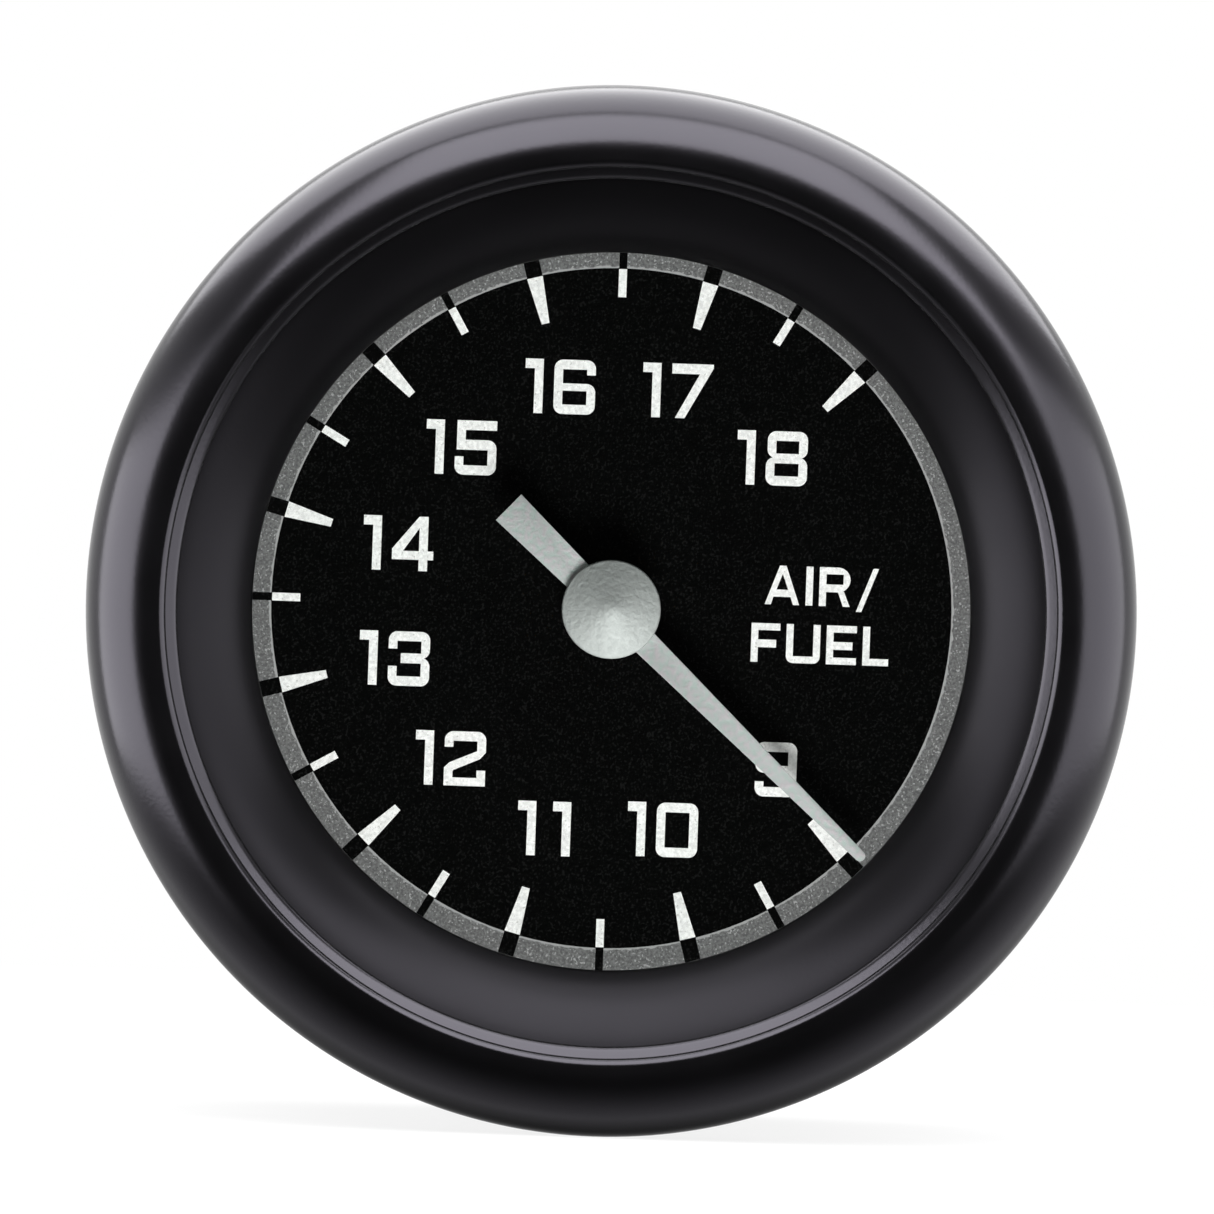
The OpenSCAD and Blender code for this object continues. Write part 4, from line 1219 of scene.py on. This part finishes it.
class GAUGE_OT_clamp(bpy.types.Operator):
    """Models the bent clamp bracket from one strip, with its two stud holes"""

    bl_idname = "gauge.clamp"
    bl_label = "Clamp bracket"

    def execute(self, context):
        low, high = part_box("clamp_bracket")
        thick, bend = 1.5 * MM, 3.0 * MM
        outer, feet, back = high.x, low.y, high.y
        centre, leg_end = outer - bend, back - bend
        piece = block(
            "clamp_strip", (outer - thick, feet, low.z), (outer, leg_end, high.z)
        )
        edit_mode()
        choose("FACE", lambda f: f.normal.y > 0.9)
        # Up from its foot the strip bends over, runs across, and bends down again
        for x, onwards in (
            (centre, (-2 * centre, 0, 0)),
            (-centre, (0, feet - leg_end, 0)),
        ):
            bpy.ops.mesh.spin(
                steps=10, angle=-QUARTER, center=(x, leg_end, 0), axis=(0, 0, 1)
            )
            extruded(*onwards)
        welded()
        facing_out()
        edit_mode(False)
        cut(piece, *stud_holes(2.35 * MM, -back - MM, -back + 3 * MM))
        edges_broken(piece, 0.22 * MM, segments=3)
        zinc = turned_metal("Steel strip, pressed and zinc plated")
        dressed(piece, "clamp_bracket", zinc)
        return {"FINISHED"}


class GAUGE_OT_washers(bpy.types.Operator):
    """Models one toothed lock washer with twisted teeth, and copies it"""

    bl_idname = "gauge.washers"
    bl_label = "Lock washers"

    def execute(self, context):
        far, back, front = round_size("lock_washers")
        # Each tooth and gap together take up this many columns of faces
        columns = 6
        steps = context.scene.gauge_sizes.washer_teeth * columns
        step_angle = 2 * math.pi / steps
        hole, root, tip = 2.35 * MM, 3.2 * MM, far - STUD_X
        half, edge, twist = 0.25 * MM, 0.08 * MM, 0.15 * MM
        middle = (back + front) / 2
        section = soft_box(hole, root, middle - half, middle + half, edge, steps=2)
        piece = turned("washer", section, steps)

        def column(point):
            return math.atan2(point.z, point.x) / step_angle % columns

        def on_tooth(face):
            place = face.calc_center_median()
            return (
                off_axis(place) > root - 0.02 * MM
                and abs(face.normal.y) < 0.2
                and column(place) < columns / 2
            )

        edit_mode()
        choose("FACE", on_tooth)
        extruded(0, 0, 0)
        stretched(tip / root, 1, tip / root)
        # One side of each tooth is raised and the other lowered
        for place in range(columns // 2 + 1):
            choose(
                "VERT",
                lambda v: off_axis(v.co) > tip - 0.1 * MM
                and abs((column(v.co) + 0.5) % columns - 0.5 - place) < 0.3,
            )
            lift = twist * (1 - 4 * place / columns)
            bpy.ops.transform.translate(value=(0, lift, 0))
        edit_mode(False)
        smoothed(piece)
        steel = turned_metal("Spring steel, zinc plated")
        dressed(paired(piece, "washer_pair"), "lock_washers", steel)
        return {"FINISHED"}


class GAUGE_OT_thumb_nuts(bpy.types.Operator):
    """Turns one thumb nut, presses its knurl, and copies it"""

    bl_idname = "gauge.thumb_nuts"
    bl_label = "Thumb nuts"

    def execute(self, context):
        low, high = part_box("thumb_nut_right")
        radius, back, front = (high.x - low.x) / 2, -high.y, -low.y
        collar, head, chamfer = 4.2 * MM, front - 1.0 * MM, 0.5 * MM
        bore, ease, small = 2.05 * MM, 0.35 * MM, 0.12 * MM
        section = (
            [(bore + ease, back), (radius - chamfer, back), (radius, back + chamfer)]
            + [(radius, head - chamfer), (radius - chamfer, head), (collar, head)]
            + [(collar, front - small), (collar - small, front), (bore + ease, front)]
            + [(bore, front - ease), (bore, back + ease)]
        )
        # Every second column of points is pressed in to the knurl's valleys
        steps, valley = 2 * context.scene.gauge_sizes.knurl_count, 0.955
        piece = turned("nut", section, steps)
        step_angle = 2 * math.pi / steps
        edit_mode()
        choose(
            "VERT",
            lambda v: off_axis(v.co) > radius - 0.1 * MM
            and round(math.atan2(v.co.z, v.co.x) / step_angle) % 2 == 1,
        )
        stretched(valley, 1, valley)
        edit_mode(False)
        smoothed(piece)
        brass = turned_metal("Brass, knurled")
        for side, x in (("left", -STUD_X), ("right", STUD_X)):
            nut = copied(piece, "knurled_nut_" + side, x)
            dressed(nut, "thumb_nut_" + side, brass)
        bpy.data.objects.remove(piece)
        return {"FINISHED"}


# The stage: floor, world, lamps and camera. The sight line is the photograph's.

PICTURE_SIZE = 1214
PIXEL = 0.057365 * MM
CAMERA_DISTANCE = 2.6
CAMERA_RISE = math.radians(1.5)
CAMERA_ROLL = math.radians(2)
SENSOR = 36
# Where the gauge's axis meets the picture, in pixels right of and below its middle
OFF_CENTRE = (4.4, 4.5)
# Height of the bezel's widest part above the panel, which the framing is set on
FRAMED_DEPTH = 5.25 * MM
# So small that the lens mirrors the dark front above it, not the floor
FLOOR_SIZE = 0.54

# What each lamp looks like from the gauge, in degrees: angle from straight ahead, angle
# round the dial from three o'clock, width along the horizon, and height. Then its
# brightness, where a white wall is 1
LAMPS = {
    "key_panel": (45, 88, 56, 50, 5.6),
    "left_panel": (68, 182, 70, 40, 4.4),
    "right_panel": (64, 4, 84, 40, 2.7),
    "top_panel": (112, 90, 100, 74, 3.6),
}
DIAL_LAMP = (46, -78, 26, 26, 21.5)
LAMP_DISTANCE = 0.9
DIAL_GROUP = (
    "dial_plate",
    "chapter_ring",
    "major_ticks",
    "minor_ticks",
    "numerals",
    "legend",
)
POINTER_GROUP = ("pointer_blade", "hub_cone")

# What glossy things mirror from the front, 0, round to the back, 1: black cards stand
# in front, and the pale backdrop behind
MIRRORED = (
    (0.0, 0.005),
    (0.05, 0.02),
    (0.15, 0.16),
    (0.3, 0.45),
    (0.45, 0.65),
    (0.6, 0.85),
    (0.75, 1.0),
)
# Low down at the back the gauge mirrors its own shaded ground
GROUND = ((0.68, 1.0), (0.76, 0.6), (0.86, 0.3), (0.95, 0.06))
# The plain light on everything else, from the front round to the back
SOFT = ((0.0, 0.22), (0.5, 0.45), (1.0, 0.8))


def panel_lamp(name, ahead, around, wide, tall, brightness):
    """A soft panel that the gauge sees at these angles: returns its light linking."""
    ahead, around = math.radians(ahead), math.radians(around)
    towards = Vector(
        (
            math.sin(ahead) * math.cos(around),
            -math.cos(ahead),
            math.sin(ahead) * math.sin(around),
        )
    )
    width, height = (
        2 * LAMP_DISTANCE * math.tan(math.radians(angle) / 2) for angle in (wide, tall)
    )
    select()
    bpy.ops.object.light_add(type="AREA", location=towards * LAMP_DISTANCE)
    lamp = named(name)
    lamp.rotation_euler = towards.to_track_quat("Z", "Y").to_euler()
    lamp.data.shape = "RECTANGLE"
    lamp.data.size, lamp.data.size_y = width, height
    # An area lamp of P watts has a radiance of P over pi times its area
    lamp.data.energy = brightness * math.pi * width * height
    return lamp.light_linking


def group(name, pieces, state):
    """A collection of pieces that a lamp's linking includes or leaves out."""
    collection = bpy.data.collections.new(name)
    for piece in pieces:
        collection.objects.link(piece)
    for member in collection.collection_objects:
        member.light_linking.link_state = state
    return collection


class GAUGE_OT_stage(bpy.types.Operator):
    """Adds the pale floor, the studio light and the camera at the photograph's angle"""

    bl_idname = "gauge.stage"
    bl_label = "Stage"

    def execute(self, context):
        self.floor()
        self.world(context.scene)
        self.lamps()
        self.camera(context.scene)
        return {"FINISHED"}

    def floor(self):
        select()
        location = (0, 0, CAD_BOX[0].z)
        bpy.ops.mesh.primitive_plane_add(size=FLOOR_SIZE, location=location)
        plane = named("stage_floor")
        material, tree = blank("Floor, plain pale")
        # The backdrop's white takes over from the shadowed floor with distance
        place = add(tree, "TexCoord", out="Object")
        far = add(tree, "VectorMath", {0: place}, operation="LENGTH")
        white_from = ((0.06, 0.85), (0.25, 1.0))
        near = add(tree, "ValToRGB", {"Fac": far}, stops=white_from)
        seen = rays(tree, "Is Camera Ray", "Is Glossy Ray", "Is Transmission Ray")
        share = add(tree, "Math", {0: seen, 1: near}, operation="MULTIPLY")
        tone = mottled(4 * MM, (0.3, "#e2e2e2"), (0.7, "#eaeaea"), detail=3)(tree)
        plain = add(tree, "BsdfDiffuse", {"Color": tone})
        white = add(tree, "Emission", {"Color": (1, 1, 1, 1), "Strength": 1})
        shader = add(tree, "MixShader", {0: share, 1: plain, 2: white})
        add(tree, "OutputMaterial", {"Surface": shader})
        plane.data.materials.append(material)
        # The glossy bezel mirrors the world's own pale half instead of the floor
        plane.visible_glossy = False

    def world(self, scene):
        scene.world = world = bpy.data.worlds.new("Studio")
        world.use_nodes = True
        # The world is even and soft, so plain rays find it with less noise
        world.cycles.sampling_method = "NONE"
        tree = world.node_tree
        tree.nodes.clear()
        towards = add(tree, "TexCoord", out="Generated")
        back, up = (
            add(tree, "SeparateXYZ", {0: towards}, out=axis) for axis in "YZ"
        )
        feeds = {0: back, 1: 0.5, 2: 0.5}
        share = add(tree, "Math", feeds, operation="MULTIPLY_ADD")
        low = add(tree, "Math", {0: back, 1: up}, operation="SUBTRACT")
        low = add(tree, "Math", {0: low, 1: 1.5}, operation="DIVIDE")
        mirrored, ground, soft = (
            add(tree, "ValToRGB", {"Fac": factor}, stops=stops)
            for factor, stops in ((share, MIRRORED), (low, GROUND), (share, SOFT))
        )
        feeds = {"Factor": 1.0, 6: mirrored, 7: ground}
        multiplied = {"data_type": "RGBA", "blend_type": "MULTIPLY"}
        light = add(tree, "Mix", feeds, **multiplied)
        seen = rays(tree, "Is Glossy Ray", "Is Transmission Ray")
        feeds = {"Factor": seen, 6: soft, 7: light}
        light = add(tree, "Mix", feeds, data_type="RGBA")
        # To the camera the background is white
        feeds = {"Factor": rays(tree, "Is Camera Ray"), 6: light, 7: (1, 1, 1, 1)}
        light = add(tree, "Mix", feeds, data_type="RGBA")
        light = add(tree, "Background", {"Color": light, "Strength": 1.0})
        add(tree, "OutputWorld", {"Surface": light})

    def lamps(self):
        dial = [frame["nodes"][node] for node in DIAL_GROUP]
        pointer = [bpy.data.objects[name] for name in POINTER_GROUP]
        lit = dial + pointer
        # Light that passes the lens counts as the lens's own, so it is left out too
        left_out = lit + [bpy.data.objects["lens_disc"]]
        for name, angles in LAMPS.items():
            panel = panel_lamp(name, *angles)
            panel.receiver_collection = group(name + "_leaves_out", left_out, "EXCLUDE")
        panel = panel_lamp("dial_lamp", *DIAL_LAMP)
        panel.receiver_collection = group("dial_lamp_lights", lit, "INCLUDE")
        panel.blocker_collection = group("dial_lamp_shadows", pointer, "INCLUDE")

    def camera(self, scene):
        select()
        right, down = (PIXEL * part for part in OFF_CENTRE)
        target = Vector((-right, -FRAMED_DEPTH, down))
        sight = Vector((0, -math.cos(CAMERA_RISE), math.sin(CAMERA_RISE)))
        bpy.ops.object.camera_add(location=target + sight * CAMERA_DISTANCE)
        camera = named("picture_camera")
        facing = sight.to_track_quat("Z", "Y").to_matrix()
        rolled = facing @ Matrix.Rotation(CAMERA_ROLL, 3, "Z")
        camera.rotation_euler = rolled.to_euler()
        camera.data.sensor_width = SENSOR
        camera.data.lens = SENSOR * CAMERA_DISTANCE / (PICTURE_SIZE * PIXEL)
        camera.data.clip_start, camera.data.clip_end = 0.1, 20
        scene.camera = camera
        scene.view_settings.view_transform = "Standard"


PIECES = (
    GAUGE_OT_bezel,
    GAUGE_OT_seals,
    GAUGE_OT_glass,
    GAUGE_OT_spacer,
    GAUGE_OT_dial,
    GAUGE_OT_pointer,
    GAUGE_OT_hub_cap,
    GAUGE_OT_movement,
    GAUGE_OT_electronics,
    GAUGE_OT_case,
    GAUGE_OT_connector,
    GAUGE_OT_studs,
    GAUGE_OT_clamp,
    GAUGE_OT_washers,
    GAUGE_OT_thumb_nuts,
    GAUGE_OT_stage,
)


class GAUGE_PT_pieces(bpy.types.Panel):
    """Lists the gauge's sizes, colours and pieces"""

    bl_idname = "GAUGE_PT_pieces"
    bl_label = "Air fuel ratio gauge"
    bl_space_type = "VIEW_3D"
    bl_region_type = "UI"
    bl_category = "Gauge"

    def draw(self, context):
        layout = self.layout
        for settings in (context.scene.gauge_sizes, context.scene.gauge_colours):
            column = layout.column(align=True)
            for name in settings.__annotations__:
                column.prop(settings, name)
        column = layout.column(align=True)
        for piece in PIECES:
            column.operator(piece.bl_idname)


CLASSES = (GaugeSizes, GaugeColours, *PIECES, GAUGE_PT_pieces)


def register():
    for kind in CLASSES:
        bpy.utils.register_class(kind)
    bpy.types.Scene.gauge_sizes = PointerProperty(type=GaugeSizes)
    bpy.types.Scene.gauge_colours = PointerProperty(type=GaugeColours)


def unregister():
    del bpy.types.Scene.gauge_colours
    del bpy.types.Scene.gauge_sizes
    for kind in reversed(CLASSES):
        bpy.utils.unregister_class(kind)


def main():
    register()
    for piece in PIECES:
        family, action = piece.bl_idname.split(".")
        getattr(getattr(bpy.ops, family), action)()


if __name__ == "__main__":
    main()
